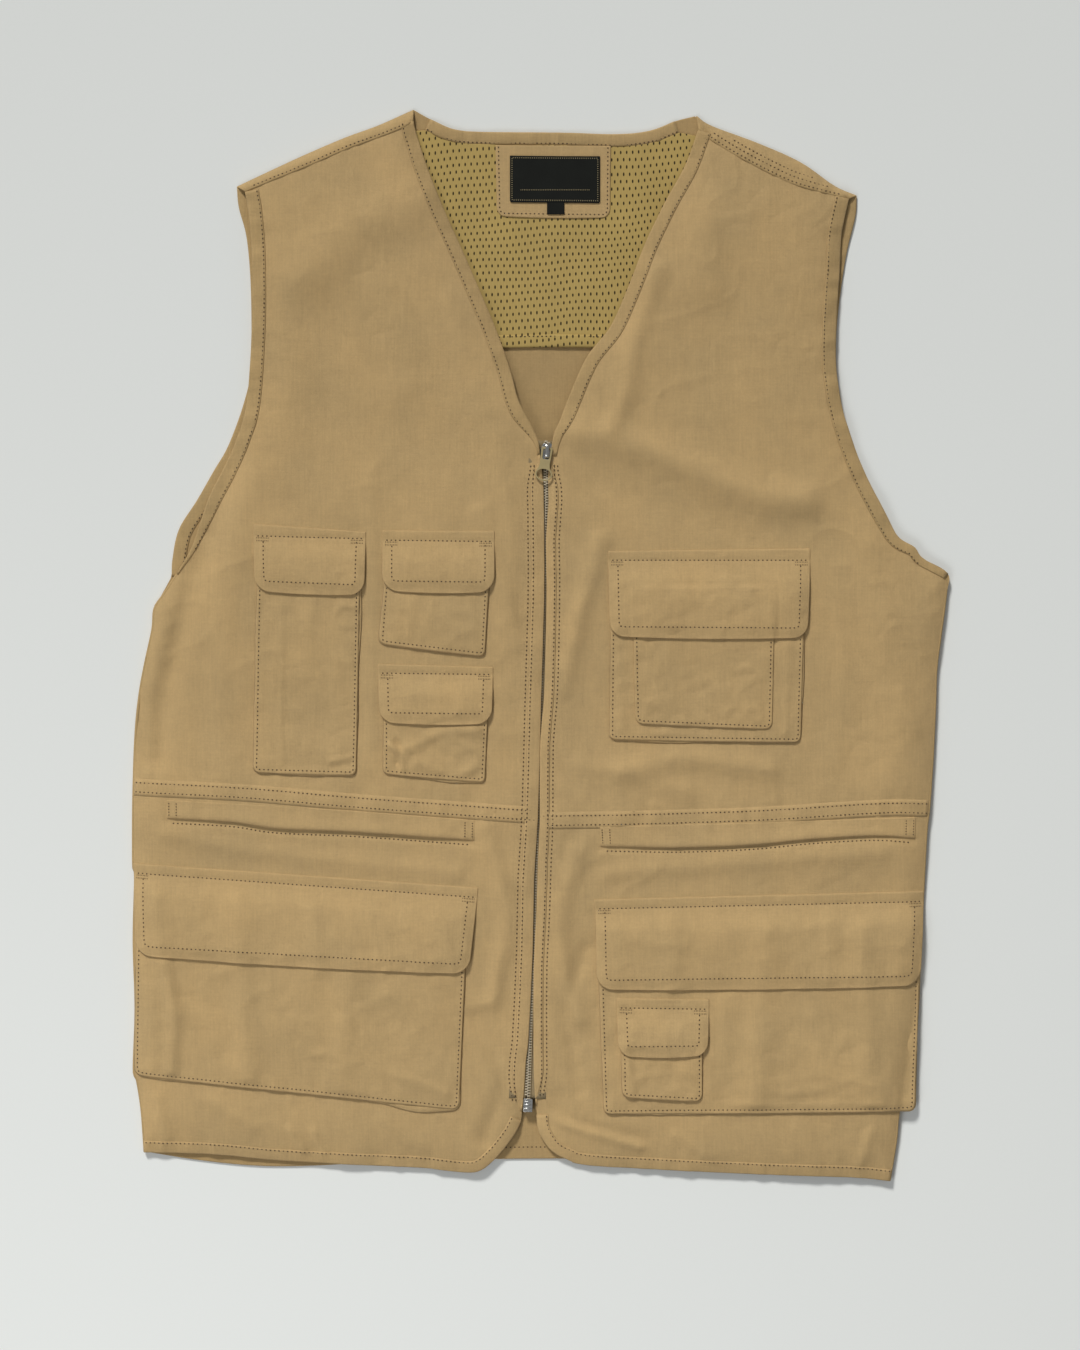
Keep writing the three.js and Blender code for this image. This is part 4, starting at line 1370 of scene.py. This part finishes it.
def make_lining():
    """The mesh yoke lining, the label's patch and their stitching."""
    neck = offset(catmull(BACK_NECK[1:-1]), -8.6)
    top = catmull([(-203, 308), (-165, 330), (-120, 350), (-88, 362)])
    top = np.vstack([top[:-1], neck, catmull([(104, 360), (150, 340), (214, 304)])[1:]])
    left = catmull([(-203, 308), (-196, 280), (-193, 240), (-194, 205)])
    right = catmull([(214, 304), (204, 270), (199, 235), (198, 203)])
    bottom = catmull([(-194, 205), (-80, 207), (0, 209), (80, 208), (198, 203)])
    xy = coons(top, bottom, left, right, stations(400, 3.2), stations(150, 3.2))
    sheet = sheet_between(xy, lining_height, level(1.25), 0.15)
    piece = fit(sheet, "mesh_lining_cloth", "mesh", "root", ["mesh_lining"])
    declare(piece, (430, 180))
    seam = Shape()
    seam_line = even(catmull([(-60, 207.5), (0, 209), (60, 208.4)]), 3)
    sweep(seam, seam_line, band_profile(9, 0.85, 0.4, 0.2), lining_height, 1)
    fit(seam, "lining_seam_binding", "mesh", "root")
    xy = rounded_quad(LABEL_PATCH, 6, stations(80, 2.2), stations(50, 2.2), 1.0)
    sheet = sheet_between(xy, patch_height, lining_height, 0.2, 0.0, 0.1)
    piece = fit(sheet, "label_patch_cloth", "flap", "root", replaces=["label_patch"])
    declare(piece, (90, 60))
    rows = Shape()
    top_left, top_right, low_right, low_left = LABEL_PATCH
    path = even(rounded_path([top_left, low_left, low_right, top_right], 6), 2)
    stitch_row(rows, offset(path, 1.8), patch_height, seed=61, lift=0.05)
    stitch_row(rows, offset(seam_line, 7.4), lining_height, seed=62, lift=0.85)
    fit(rows, "lining_stitching", "thread", "root")


def make_label():
    """The woven label with its border, and the size tab under it."""
    xy = rounded_quad(LABEL, 0.8, stations(63, 2), stations(33, 2))
    sheet = sheet_between(xy, patch_height, patch_height, 0.15, 0.85, 0.2)
    fit(sheet, "woven_label_cloth", "label", "root", ["woven_label"])
    xy = rounded_quad(SIZE_TAB, 0.5, stations(12, 1.5, (0.5, 1.1)), stations(8.5, 1.5, (0.5, 1.1)))
    sheet = sheet_between(xy, patch_height, patch_height, 0.1, 0.75, 0.15)
    fit(sheet, "size_tab_cloth", "label", "root", ["size_tab"])
    ring = [np.add(corner, np.multiply(way, 1.4)) for corner, way in zip(LABEL, LABEL_INWARD)]
    rows = Shape()
    stitch_row(rows, even(np.array(ring + ring[:1]), 1), patch_height, pitch=1.5, seed=63, lift=0.86)
    stitch_row(rows, np.array([(-14, 319), (35, 319)]), patch_height, pitch=1.2, seed=64, lift=0.86)
    fit(rows, "label_border", "border", "root")


# ---- pockets and flaps --------------------------------------------------
def line_side(first, second, x, y):
    """Signed distance to a straight line, positive to the left of travel."""
    a = np.array(first, float)
    d = np.array(second, float) - a
    d /= np.linalg.norm(d)
    return (y - a[1]) * d[0] - (x - a[0]) * d[1]


def pocket_lift(data, depth, crown, seed):
    """How far a pocket's face stands off the cloth that it is sewn to."""
    top_left, top_right, low_right, low_left = data["corners"]

    def lift(x, y):
        left = line_side(top_left, low_left, x, y)
        foot = line_side(low_left, low_right, x, y)
        right = line_side(low_right, top_right, x, y)
        mouth = line_side(top_right, top_left, x, y)
        inside = np.minimum(np.minimum(left, foot), right)
        rise = depth + crown * smooth(inside / 18) - 0.12 * np.clip(-inside, 0, 6)
        rise = rise - 0.45 * depth * (1 - smooth(mouth / 18))
        fade = smooth(inside / 5)
        rise = rise + fade * (0.42 * noise(x, y, 19, seed) + 0.15 * noise(x, y, 7, seed + 1))
        rise = rise + fade * (0.50 * crease(x, y, 14, seed + 4) - 0.30 * crease(x, y, 9, seed + 6))
        rim = np.exp(-((inside / 9) ** 2))
        rise = rise + 0.28 * rim * noise(x, y, 6, seed + 2)
        return rise + 1.3 * fade * fold_height(data.get("folds", []), x, y)

    return lift


def flap_height(data, base, lift, ply):
    """The upper face of a flap lying shut over its pocket."""
    hinge, foot = data["hinge"], data["foot"]

    def height(x, y):
        fall = -line_side(hinge[0], hinge[1], x, y)
        left = line_side(hinge[0], foot[0], x, y)
        low = line_side(foot[0], foot[1], x, y)
        right = line_side(foot[1], hinge[1], x, y)
        edge = np.minimum(np.minimum(left, low), right)
        gap = 0.55 + 0.85 * smooth(edge / 8)
        target = lift(x, y) + gap + ply
        target = target + 0.24 * noise(x, y, 21, 91) + 0.14 * noise(x, y, 9, 92)
        target = target + 0.34 * crease(x, y, 13, 93) * smooth(edge / 5)
        rise = 0.5 + (target - 0.5) * smooth(fall / 17)
        dent = 0.32 * np.exp(-((fall / 1.1) ** 2))
        return base(x, y) + np.where(fall > 0, rise, 0.5) - dent

    return height


SMALL_STEP = 1.7
LARGE_STEP = 2.2
LARGE_POCKET = 150
HEADER_PLY = 0.75
HINGE_HEIGHT = 9.6


def make_pocket(name, data, base):
    """A pocket's face and folded sides with topstitching. Gives its face and how far it stands off."""
    body = f"{data['side']}_front"
    seed = 100 + sum(ord(letter) for letter in name)
    depth = sizes().pocket_depth
    lift = pocket_lift(data, depth, 0.6, seed)

    def face(x, y):
        return base(x, y) + lift(x, y)

    top_left, top_right, low_right, low_left = (np.array(c, float) for c in data["corners"])
    width = np.linalg.norm(top_right - top_left)
    drop = np.linalg.norm(low_left - top_left)
    step = SMALL_STEP if width < LARGE_POCKET else LARGE_STEP
    xy = rounded_quad(data["corners"], data["corner"], stations(width, step), stations(drop, step), 0.6)
    shape = sheet_between(xy, face, face, 0.3, 0.0, -0.75)
    path = even(rounded_path([top_left, low_left, low_right, top_right], data["corner"]), 2)
    out = 0.3 + 0.6 * noise(path[:, 0], path[:, 1], 28, seed + 8)
    for place_x, place_y, reach, peek in data.get("peeks", ()):
        away = np.hypot(path[:, 0] - place_x, path[:, 1] - place_y)
        out = out + peek * np.exp(-((away / reach) ** 2))
    fold = path - normals(path) * out[:, None]
    sides = [
        (1.9, -0.3), (0.7, 0.15), (-0.5, depth * 0.22), (0.3, depth * 0.5),
        (8.5, depth * 0.5), (8.5, -0.3),
    ]
    sweep(shape, fold, sides, base)
    pocket = fit(shape, f"{name}_pocket_cloth", "shell", body, replaces=[f"{name}_pocket"])
    rows = Shape()
    stitch_row(rows, offset(path, 1.7), face, seed=seed, lift=0.02)
    fit(rows, f"{name}_pocket_stitching", "thread", body)
    declare(pocket, (width + 24, drop + 30))
    return face, lift


def make_flap(name, data, base, lift):
    """A flap with its sewn header, topstitching and pads."""
    front_body = f"{data['side']}_front"
    ply = sizes().flap_ply
    height = flap_height(data, base, lift, ply)
    header, hinge, foot = data["header"], data["hinge"], data["foot"]
    width = math.dist(hinge[0], hinge[1])
    drop = math.dist(hinge[0], foot[0])
    step = SMALL_STEP if width < LARGE_POCKET else LARGE_STEP
    across = stations(width, step)
    upper = rounded_quad([header[0], header[1], hinge[1], hinge[0]], 0.01, across, np.linspace(0, 1, 6)[:-1])
    foot_rows = drop - np.array([4.6, 2.9, 1.6, 0.7, 0.25, 0.0])
    lower_rows = np.concatenate([[0.0, 0.9, 2.0, 3.4], np.arange(5, drop - 5, step), foot_rows])
    corners = [hinge[0], hinge[1], foot[1], foot[0]]
    lower = rounded_quad(corners, data["flap_corner"], across, lower_rows / drop, 1.6)
    xy = np.vstack([upper, lower])
    top = raised(xy, height)
    fall = -line_side(hinge[0], hinge[1], xy[..., 0], xy[..., 1])
    thick = HEADER_PLY + (ply - HEADER_PLY) * smooth(fall / 6)
    bottom = top - np.stack([np.zeros_like(thick), np.zeros_like(thick), thick], -1)
    shape = Shape()
    shape.pillow(top, bottom, 0.35)
    flap = shape.build(f"{name}_flap_cloth", finish_of("flap"))
    middle = (np.array(hinge[0]) + np.array(hinge[1])) / 2
    run = np.subtract(hinge[1], hinge[0]).astype(float)
    run /= np.linalg.norm(run)
    down = np.array([run[1], -run[0]])
    start = middle - down * 0.5
    finish = middle + down * 5.0
    move = (front_body, f"{name}_flap", at(*start, HINGE_HEIGHT), at(*finish, HINGE_HEIGHT))
    attach(flap, move, [f"{name}_flap"])
    declare(flap, (width + 16, drop + 24))
    rows = Shape()
    outline = rounded_path([hinge[0], foot[0], foot[1], hinge[1]], data["flap_corner"])
    outline = offset(even(outline, 1.5), 6.4)
    outline = outline[-line_side(hinge[0], hinge[1], outline[:, 0], outline[:, 1]) > 1.5]
    stitch_row(rows, outline, height, seed=3, lift=0.02)
    ends = [np.array(hinge[0]) + run * 1.5, np.array(hinge[1]) - run * 1.5]
    stitch_row(rows, even(np.array(ends), 2), height, seed=4, lift=0.04)
    for end, way in ((ends[0], 1), (ends[1], -1)):
        for low in (1.3, 3.3):
            bar = np.array([end + down * low, end + run * way * 9 + down * low])
            stitch_row(rows, even(bar, 1), height, pitch=1.1, seed=5, lift=0.05)
    fit(rows, f"{name}_flap_stitching", "thread", move)
    low, high = (np.array(v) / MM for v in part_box(f"{name}_hook_pad"))
    width_pad, drop_pad = high[0] - low[0], high[1] - low[1]
    xy = rounded_quad(
        [(low[0], high[1]), (high[0], high[1]), (high[0], low[1]), (low[0], low[1])], 1.2,
        stations(width_pad, 2.5, (0.5, 1.2)), stations(drop_pad, 2.5, (0.5, 1.2)),
    )

    def face(x, y):
        return base(x, y) + lift(x, y)

    shape = sheet_between(xy, height, height, 0.15, -ply - 0.02, -ply - 0.40)
    fit(shape, f"{name}_hook_nap", "pad", f"{name}_flap", [f"{name}_hook_pad"])
    shape = sheet_between(xy, face, face, 0.15, 0.38, -0.05)
    fit(shape, f"{name}_loop_nap", "pad", front_body, [f"{name}_loop_pad"])


def make_patch_pocket(base):
    """The flat patch pocket on the chest pocket's face."""
    corners = [np.array(c, float) for c in PATCH["corners"]]
    data = {"corners": PATCH["corners"], "folds": [([(80, 20), (90, -40)], 8, 0.3)]}
    lift = pocket_lift(data, 1.1, 0.5, 301)

    def face(x, y):
        return base(x, y) + lift(x, y)

    xy = rounded_quad(PATCH["corners"], PATCH["corner"], stations(98, 1.7), stations(96, 1.7), 0.5)
    shape = sheet_between(xy, face, base, 0.3, 0.0, 0.05)
    piece = fit(shape, "chest_patch_pocket_cloth", "flap", "left_front", replaces=["chest_patch_pocket"])
    declare(piece, (112, 112))
    rows = Shape()
    path = even(rounded_path([corners[0], corners[3], corners[2], corners[1]], PATCH["corner"]), 2)
    stitch_row(rows, offset(path, 1.8), face, seed=8, lift=0.02)
    fit(rows, "chest_patch_stitching", "thread", "left_front")
    return lift


def lift_with_patch(lift, patch):
    """How far the chest pocket stands off with its patch pocket, softened round the patch."""
    top_left, top_right, low_right, low_left = PATCH["corners"]

    def both(x, y):
        edge = np.minimum(line_side(top_left, low_left, x, y), line_side(low_right, top_right, x, y))
        edge = np.minimum(edge, line_side(top_right, top_left, x, y))
        return lift(x, y) + patch(x, y) * smooth((edge + 3) / 3)

    return both


def welt_rise(share, t):
    """How far a welt stands off the front, by the share of its depth and of its length."""
    return 0.3 + 1.3 * smooth((share - 0.2) / 0.8) * np.sin(np.pi * t) ** 0.5


def make_welt(side):
    """A slash pocket: its welt on the front and its pouch inside."""
    data = WELTS[side]
    body = f"{side}_front"
    base = FRONTS[side]
    top_line = catmull(data["top"])
    lip = catmull(data["lip"])
    across = stations(215, 2.2)
    down = np.array([0, 0.06, 0.15, 0.28, 0.42, 0.56, 0.7, 0.82, 0.92, 1.0])
    v = down[:, None, None]
    xy = (1 - v) * along(top_line, across)[None] + v * along(lip, across)[None]
    rise = welt_rise(down[:, None], across[None])
    rise = rise + 0.22 * noise(xy[..., 0], xy[..., 1], 9, 311)
    z = base(xy[..., 0], xy[..., 1] + 0 * xy[..., 0])
    soft = FRONT_LEVEL + (z - FRONT_LEVEL) * 0.9
    top = np.concatenate([xy, (soft + rise)[..., None]], -1)
    bottom = np.concatenate([xy, (soft + rise - 0.9)[..., None]], -1)
    shape = Shape()
    shape.pillow(top, bottom, 0.3)
    piece = fit(shape, f"{side}_welt_cloth", "shell_low", body, replaces=[f"{side}_welt"])
    declare(piece, (36, 235))

    def surface(x, y):
        high = distance_to(top_line, x, y)
        low = distance_to(lip, x, y)
        share = high / (high + low + 1e-6)
        ends = data["ends"]
        t = np.clip((x - ends[0]) / (ends[1] - ends[0]), 0.001, 0.999)
        return FRONT_LEVEL + (base(x, y) - FRONT_LEVEL) * 0.9 + welt_rise(share, t)

    rows = Shape()
    stitch_row(rows, offset(even(lip, 3), -3.4)[1:-1], base, seed=72, lift=0.05)
    for t in (0.006, 0.03, 0.97, 0.994):
        ends = np.array([along(top_line, [t])[0], along(lip, [t])[0]])
        stitch_row(rows, even(along(ends, [0.1, 0.9]), 1), surface, pitch=1.7, seed=73, lift=0.08)
    fit(rows, f"{side}_welt_stitching", "thread", body)
    low, high = (np.array(value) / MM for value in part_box(f"{side}_slash_pouch"))
    corners = [(low[0], high[1]), (high[0], high[1]), (high[0] - 2, low[1]), (low[0] + 2, low[1])]
    xy = rounded_quad(corners, 14, stations(high[0] - low[0], 5), stations(high[1] - low[1], 5))

    def inside(x, y):
        return np.minimum(base(x, y) - 0.75, 7.6) + 0.1 * noise(x, y, 14, 321)

    shape = sheet_between(xy, inside, inside, 0.2, 0.0, -0.7)
    piece = fit(shape, f"{side}_pouch_cloth", "inner", body, replaces=[f"{side}_slash_pouch"])
    declare(piece, (high[0] - low[0] + 4, high[1] - low[1] + 4))


# ---- zip ----------------------------------------------------------------
ZIP_WAY = (ZIP_TOP - ZIP_BOTTOM) / np.linalg.norm(ZIP_TOP - ZIP_BOTTOM)
ZIP_OUT = np.array([ZIP_WAY[1], -ZIP_WAY[0]])
ZIP_LENGTH = float(np.linalg.norm(ZIP_TOP - ZIP_BOTTOM))
CHAIN_HEIGHT = 5.5


def on_zip(out, up):
    """A place by its distance to the viewer's right of the zip line and up from the closed slider."""
    return ZIP_TOP + ZIP_OUT * out + ZIP_WAY * up


def zip_points(points):
    """Points given as (out, up, z) from the zip's top end."""
    p = np.asarray(points, float)
    xy = ZIP_TOP + p[..., :1] * ZIP_OUT + p[..., 1:2] * ZIP_WAY
    return np.concatenate([xy, p[..., 2:]], -1)


def make_zip_side(side):
    """One tape of the zip with its teeth."""
    way = -PATTERN[side]["turn"]
    body = f"{side}_front"
    up = np.linspace(8, -ZIP_LENGTH + 9.4, 150)
    section = [
        (1.5, 4.8), (1.2, 5.2), (1.5, 5.6), (5.5, 5.7), (8.5, 6.9), (12.8, 7.2), (13.0, 6.9),
        (8.8, 6.4), (5.8, 5.1),
    ]
    rings = np.array([[(way * out, u, z) for out, z in section] for u in up])
    wave = 0.12 * noise(up, up * 0, 14, 401 + way)
    rings[..., 2] += wave[:, None]
    shape = Shape()
    shape.tube(zip_points(rings))
    around = ellipse((1.9, CHAIN_HEIGHT), 0.75, 0.95, count=8)
    cord = np.array([[(way * out, u, z) for out, z in around] for u in up])
    shape.tube(zip_points(cord))
    piece = fit(shape, f"{side}_tape_weave", "tape", body, [f"{side}_zip_tape"])
    declare(piece, (16, 456))
    pitch = sizes().tooth_pitch
    start = 7.5 if side == "right" else 7.5 - pitch / 2
    stop = -ZIP_LENGTH + (9.6 if side == "right" else 2.6)
    count = int((start - stop) / pitch)
    half_up, half_z = pitch * 0.27, 1.15
    tooth = []
    for z in (-half_z, -half_z * 0.55, half_z * 0.55, half_z):
        pinch = 0.72 if abs(z) == half_z else 1.0
        ring = [
            (2.25, -half_up), (0.5, -half_up), (-0.32, -half_up * 1.25), (-0.62, 0),
            (-0.32, half_up * 1.25), (0.5, half_up), (2.25, half_up),
        ]
        tooth.append([(way * (0.9 + (out - 0.9) * pinch), u * pinch, CHAIN_HEIGHT + z) for out, u in ring])
    tooth = np.array(tooth)
    shape = Shape()
    for k in range(count):
        placed = tooth + np.array([0, start - k * pitch, 0])
        shape.tube(zip_points(placed))
    fit(shape, f"{side}_teeth", "tooth", body, [f"{side}_zip_chain"])


def flat_part(name, loops, middle, half, bevel, finish):
    """A flat metal part cut to outlines, with holes and softly broken edges."""
    curve = bpy.data.curves.new(name + "_outline", "CURVE")
    curve.dimensions = "2D"
    curve.fill_mode = "BOTH"
    curve.extrude = (half - bevel) * MM
    curve.bevel_depth = bevel * MM
    curve.bevel_resolution = 2
    curve.offset = -bevel * MM
    for loop in loops:
        spline = curve.splines.new("POLY")
        spline.points.add(len(loop) - 1)
        for point, (x, y) in zip(spline.points, loop):
            point.co = (x * MM, y * MM, 0, 1)
        spline.use_cyclic_u = True
    holder = bpy.data.objects.new(name + "_holder", curve)
    bpy.context.scene.collection.objects.link(holder)
    bpy.context.view_layer.update()
    mesh = bpy.data.meshes.new_from_object(holder.evaluated_get(bpy.context.evaluated_depsgraph_get()))
    bpy.data.objects.remove(holder)
    mesh.name = name
    work = bmesh.new()
    work.from_mesh(mesh)
    bmesh.ops.remove_doubles(work, verts=work.verts, dist=1e-6)
    bmesh.ops.translate(work, verts=work.verts, vec=(0, 0, middle * MM))
    bmesh.ops.recalc_face_normals(work, faces=work.faces)
    work.to_mesh(mesh)
    work.free()
    mesh.materials.clear()
    mesh.materials.append(finish)
    piece = bpy.data.objects.new(name, mesh)
    bpy.context.scene.collection.objects.link(piece)
    return piece


def ellipse(centre, half_x, half_y, first=0.0, last=360.0, count=40):
    angles = np.radians(np.linspace(first, last, count, endpoint=abs(last - first) < 360))
    return [(centre[0] + half_x * math.cos(a), centre[1] + half_y * math.sin(a)) for a in angles]


def merged(name, pieces):
    """Several meshes joined as one piece."""
    work = bmesh.new()
    for piece in pieces:
        work.from_mesh(piece.data)
    mesh = pieces[0].data.copy()
    work.to_mesh(mesh)
    work.free()
    mesh.name = name
    for piece in pieces:
        bpy.data.objects.remove(piece)
    joined = bpy.data.objects.new(name, mesh)
    bpy.context.scene.collection.objects.link(joined)
    return joined


PLATE_LEVELS = (3.3, 7.1)


def make_slider():
    """The slider's plates and bail, and the pull with its ring."""
    finish = finish_of("metal")
    outline = [
        (-4.5, -6.2), (4.5, -6.2), (4.6, 0), (4.3, 3.2), (2.8, 5.8), (1.0, 6.4), (-1.0, 6.4),
        (-2.8, 5.8), (-4.3, 3.2), (-4.6, 0),
    ]
    smooth_outline = catmull(outline + outline[:1], 4)[:-1]
    placed = [tuple(on_zip(out, up)) for out, up in smooth_outline]
    plates = [flat_part(f"plate_{k}", [placed], z, 0.42, 0.2, finish) for k, z in enumerate(PLATE_LEVELS)]
    shape = Shape()
    post = ((-0.15, 4.1), (0.15, 4.1), (0.15, 6.2), (-0.15, 6.2))
    bridge = [[(out, up, z) for out, up in post] for z in PLATE_LEVELS]
    shape.tube(zip_points(bridge))
    bail = [
        (-4.4, 7.0), (-4.3, 9.2), (-3.2, 10.9), (-0.8, 11.5), (2.6, 11.5), (4.7, 10.9), (5.4, 9.2),
        (5.4, 7.0),
    ]
    path = catmull(bail, 4)
    side = normals(path) * 0.36
    corners = [
        (-1.25, 1), (-1.05, 1.3), (1.05, 1.3), (1.25, 1), (1.25, -1), (1.05, -1.3), (-1.05, -1.3),
        (-1.25, -1),
    ]
    rings = []
    for centre, out in zip(path, side):
        rings.append([(w, centre[0] + out[0] * n, centre[1] + out[1] * n) for w, n in corners])
    shape.tube(zip_points(rings))
    plates.append(shape.build("bail", finish))
    body = merged("slider_metal", plates)
    attach(body, "slider", ["slider_body"])
    lean = math.radians(-7) - math.atan2(ZIP_WAY[0], ZIP_WAY[1])
    turn = np.array([[math.cos(lean), math.sin(lean)], [-math.sin(lean), math.cos(lean)]])
    axis = on_zip(0, 2.5)
    ring_centre = (0.3, -18.4)
    outer = [(-3.7, 0.6), (-4.0, -0.4), (-3.7, -6.5), (-3.5, -11.0), (-3.9, -13.8)]
    outer += ellipse(ring_centre, 6.0, 4.7, 150, 390, 28)
    outer += [(3.9, -13.8), (3.5, -11.0), (3.7, -6.5), (4.0, -0.4), (3.7, 0.6)]
    window = [(-2.5, -0.9), (2.5, -0.9), (2.4, -6.8), (1.8, -8), (-1.8, -8), (-2.4, -6.8)]
    hole = ellipse(ring_centre, 5.0, 3.7, 360, 0, 36)
    loops = []
    for loop in (outer, window, hole):
        loops.append([tuple(axis + np.array(point) @ turn) for point in loop])
    pull = flat_part("pull_enamel", loops, 9.8, 0.5, 0.22, finish_of("pull"))
    attach(pull, "pull", ["pull_tab"])


def make_zip_box():
    """The box and pin at the zip's foot."""
    finish = finish_of("metal")
    outline = [(-2.7, 0), (3.7, 0), (3.7, 8.6), (3.2, 9.2), (-2.2, 9.2), (-2.7, 8.6)]
    placed = [tuple(on_zip(out, up - ZIP_LENGTH)) for out, up in outline]
    parts = [flat_part(f"box_{k}", [placed], z, 0.45, 0.18, finish) for k, z in enumerate((3.1, 7.3))]
    shape = Shape()
    for low, high in (((-2.6, 0.4), (-0.1, 8.8)), ((2.7, 0.4), (3.6, 8.8)), ((-0.1, 0.3), (2.8, 1.9))):
        ring = ((low[0], low[1]), (high[0], low[1]), (high[0], high[1]), (low[0], high[1]))
        tower = [[(out, up - ZIP_LENGTH, z) for out, up in ring] for z in (3.2, 5.2, 7.2)]
        shape.tube(zip_points(tower))
    for up in (2.6, 5.2, 7.4):
        ring = ellipse((0.5, up), 2.6, 0.35, count=16)
        dome = [[(out, height_up - ZIP_LENGTH, z) for out, height_up in ring] for z in (7.6, 7.95)]
        shape.tube(zip_points(dome))
    parts.append(shape.build("box_walls", finish))
    body = merged("zip_box_metal", parts)
    attach(body, "right_front", ["zip_box"])


# ---- stage --------------------------------------------------------------
def lamp(name, place, aim, size, watts, tint):
    light = bpy.data.lights.new(name, "AREA")
    light.shape = "DISK"
    light.size = size
    light.energy = watts
    light.color = tint
    holder = bpy.data.objects.new(name, light)
    bpy.context.scene.collection.objects.link(holder)
    holder.location = place
    holder.rotation_euler = (Vector(aim) - Vector(place)).to_track_quat("-Z", "Y").to_euler()


def make_stage():
    """Floor, camera and soft light."""
    scene = bpy.context.scene
    shape = Shape()
    spread = np.linspace(-3000, 3000, 9)
    x, y = np.meshgrid(spread, spread)
    shape.grid(np.stack([x, y, 0 * x - 0.4], -1))
    floor = shape.build("floor", finish_of("floor"), closed=False)
    camera = bpy.data.cameras.new("camera")
    camera.lens = 70
    camera.sensor_width = 36
    camera.dof.use_dof = False
    holder = bpy.data.objects.new("camera", camera)
    scene.collection.objects.link(holder)
    holder.location = (0, -0.02135, 1.8455)
    scene.camera = holder
    sun = bpy.data.lights.new("window_light", "SUN")
    sun.energy = 2.60
    sun.angle = math.radians(11)
    sun.color = (1.0, 0.99, 0.965)
    holder = bpy.data.objects.new("window_light", sun)
    scene.collection.objects.link(holder)
    holder.rotation_euler = Vector((-0.38, 1.0, 0.74)).to_track_quat("Z", "Y").to_euler()
    lamp("fill_softbox", (-0.65, -1.0, 1.25), (-0.1, -0.25, 0), 0.9, 6.5, (0.98, 0.99, 1.0))
    world = bpy.data.worlds.new("pale_room")
    scene.world = world
    world.use_nodes = True
    world.node_tree.nodes["Background"].inputs["Color"].default_value = (0.95, 0.975, 1.0, 1)
    world.node_tree.nodes["Background"].inputs["Strength"].default_value = 0.24
    scene.view_settings.view_transform = "Standard"
    scene.view_settings.look = "None"


# ---- operators ----------------------------------------------------------
class VEST_OT_stage(bpy.types.Operator):
    """Set the floor, the camera and the soft light."""

    bl_idname = "vest.stage"
    bl_label = "Stage"

    def execute(self, context):
        make_stage()
        return {"FINISHED"}


class VEST_OT_back(bpy.types.Operator):
    """Lay the back with its bindings."""

    bl_idname = "vest.back"
    bl_label = "Back"

    def execute(self, context):
        make_back()
        make_back_bindings()
        return {"FINISHED"}


class VEST_OT_lining(bpy.types.Operator):
    """Sew in the mesh yoke lining with its label."""

    bl_idname = "vest.lining"
    bl_label = "Yoke lining and label"

    def execute(self, context):
        make_lining()
        make_label()
        return {"FINISHED"}


class VEST_OT_fronts(bpy.types.Operator):
    """Lay the two fronts with their waist bands, hems and plackets."""

    bl_idname = "vest.fronts"
    bl_label = "Fronts"

    def execute(self, context):
        for side in SIDES:
            make_front(side)
            make_front_trim(side)
        return {"FINISHED"}


class VEST_OT_bindings(bpy.types.Operator):
    """Bind the neck and armholes and sew the shoulders and side seams."""

    bl_idname = "vest.bindings"
    bl_label = "Bindings, shoulders and side seams"

    def execute(self, context):
        for side in SIDES:
            make_front_bindings(side)
            make_shoulder(side)
            make_side_seam(side)
        return {"FINISHED"}


class VEST_OT_zip(bpy.types.Operator):
    """Make the zip with its tapes, teeth, slider, pull and box."""

    bl_idname = "vest.zip"
    bl_label = "Zip"

    def execute(self, context):
        for side in SIDES:
            make_zip_side(side)
        make_slider()
        make_zip_box()
        return {"FINISHED"}


class VEST_OT_pockets(bpy.types.Operator):
    """Sew on the flapped pockets, the patch pocket and the key pocket."""

    bl_idname = "vest.pockets"
    bl_label = "Pockets and flaps"

    def execute(self, context):
        for name, data in POCKETS.items():
            base = FRONTS[data["side"]]
            face, lift = make_pocket(name, data, base)
            if name == "chest":
                lift = lift_with_patch(lift, make_patch_pocket(face))
            make_flap(name, data, base, lift)
            if name == "left_cargo":
                make_flap("key", KEY, face, make_pocket("key", KEY, face)[1])
        return {"FINISHED"}


class VEST_OT_slash_pockets(bpy.types.Operator):
    """Set the two slash pockets into the fronts."""

    bl_idname = "vest.slash_pockets"
    bl_label = "Slash pockets"

    def execute(self, context):
        for side in SIDES:
            make_welt(side)
        return {"FINISHED"}


OPERATORS = (
    VEST_OT_stage, VEST_OT_back, VEST_OT_lining, VEST_OT_fronts, VEST_OT_bindings, VEST_OT_zip,
    VEST_OT_pockets, VEST_OT_slash_pockets,
)


class VEST_PT_panel(bpy.types.Panel):
    """The vest's sizes, colours and pieces."""

    bl_idname = "VEST_PT_panel"
    bl_label = "Fishing Vest"
    bl_space_type = "VIEW_3D"
    bl_region_type = "UI"
    bl_category = "Vest"

    def draw(self, context):
        for group in (context.scene.vest_sizes, context.scene.vest_colours):
            box = self.layout.box()
            for name in group.__annotations__:
                box.prop(group, name)
        for operator in OPERATORS:
            self.layout.operator(operator.bl_idname)


CLASSES = (VestSizes, VestColours, *OPERATORS, VEST_PT_panel)


def register():
    for cls in CLASSES:
        bpy.utils.register_class(cls)
    bpy.types.Scene.vest_sizes = bpy.props.PointerProperty(type=VestSizes)
    bpy.types.Scene.vest_colours = bpy.props.PointerProperty(type=VestColours)


def unregister():
    del bpy.types.Scene.vest_colours
    del bpy.types.Scene.vest_sizes
    for cls in reversed(CLASSES):
        bpy.utils.unregister_class(cls)


def main():
    register()
    for operator in OPERATORS:
        group, name = operator.bl_idname.split(".")
        getattr(getattr(bpy.ops, group), name)()


if __name__ == "__main__":
    main()
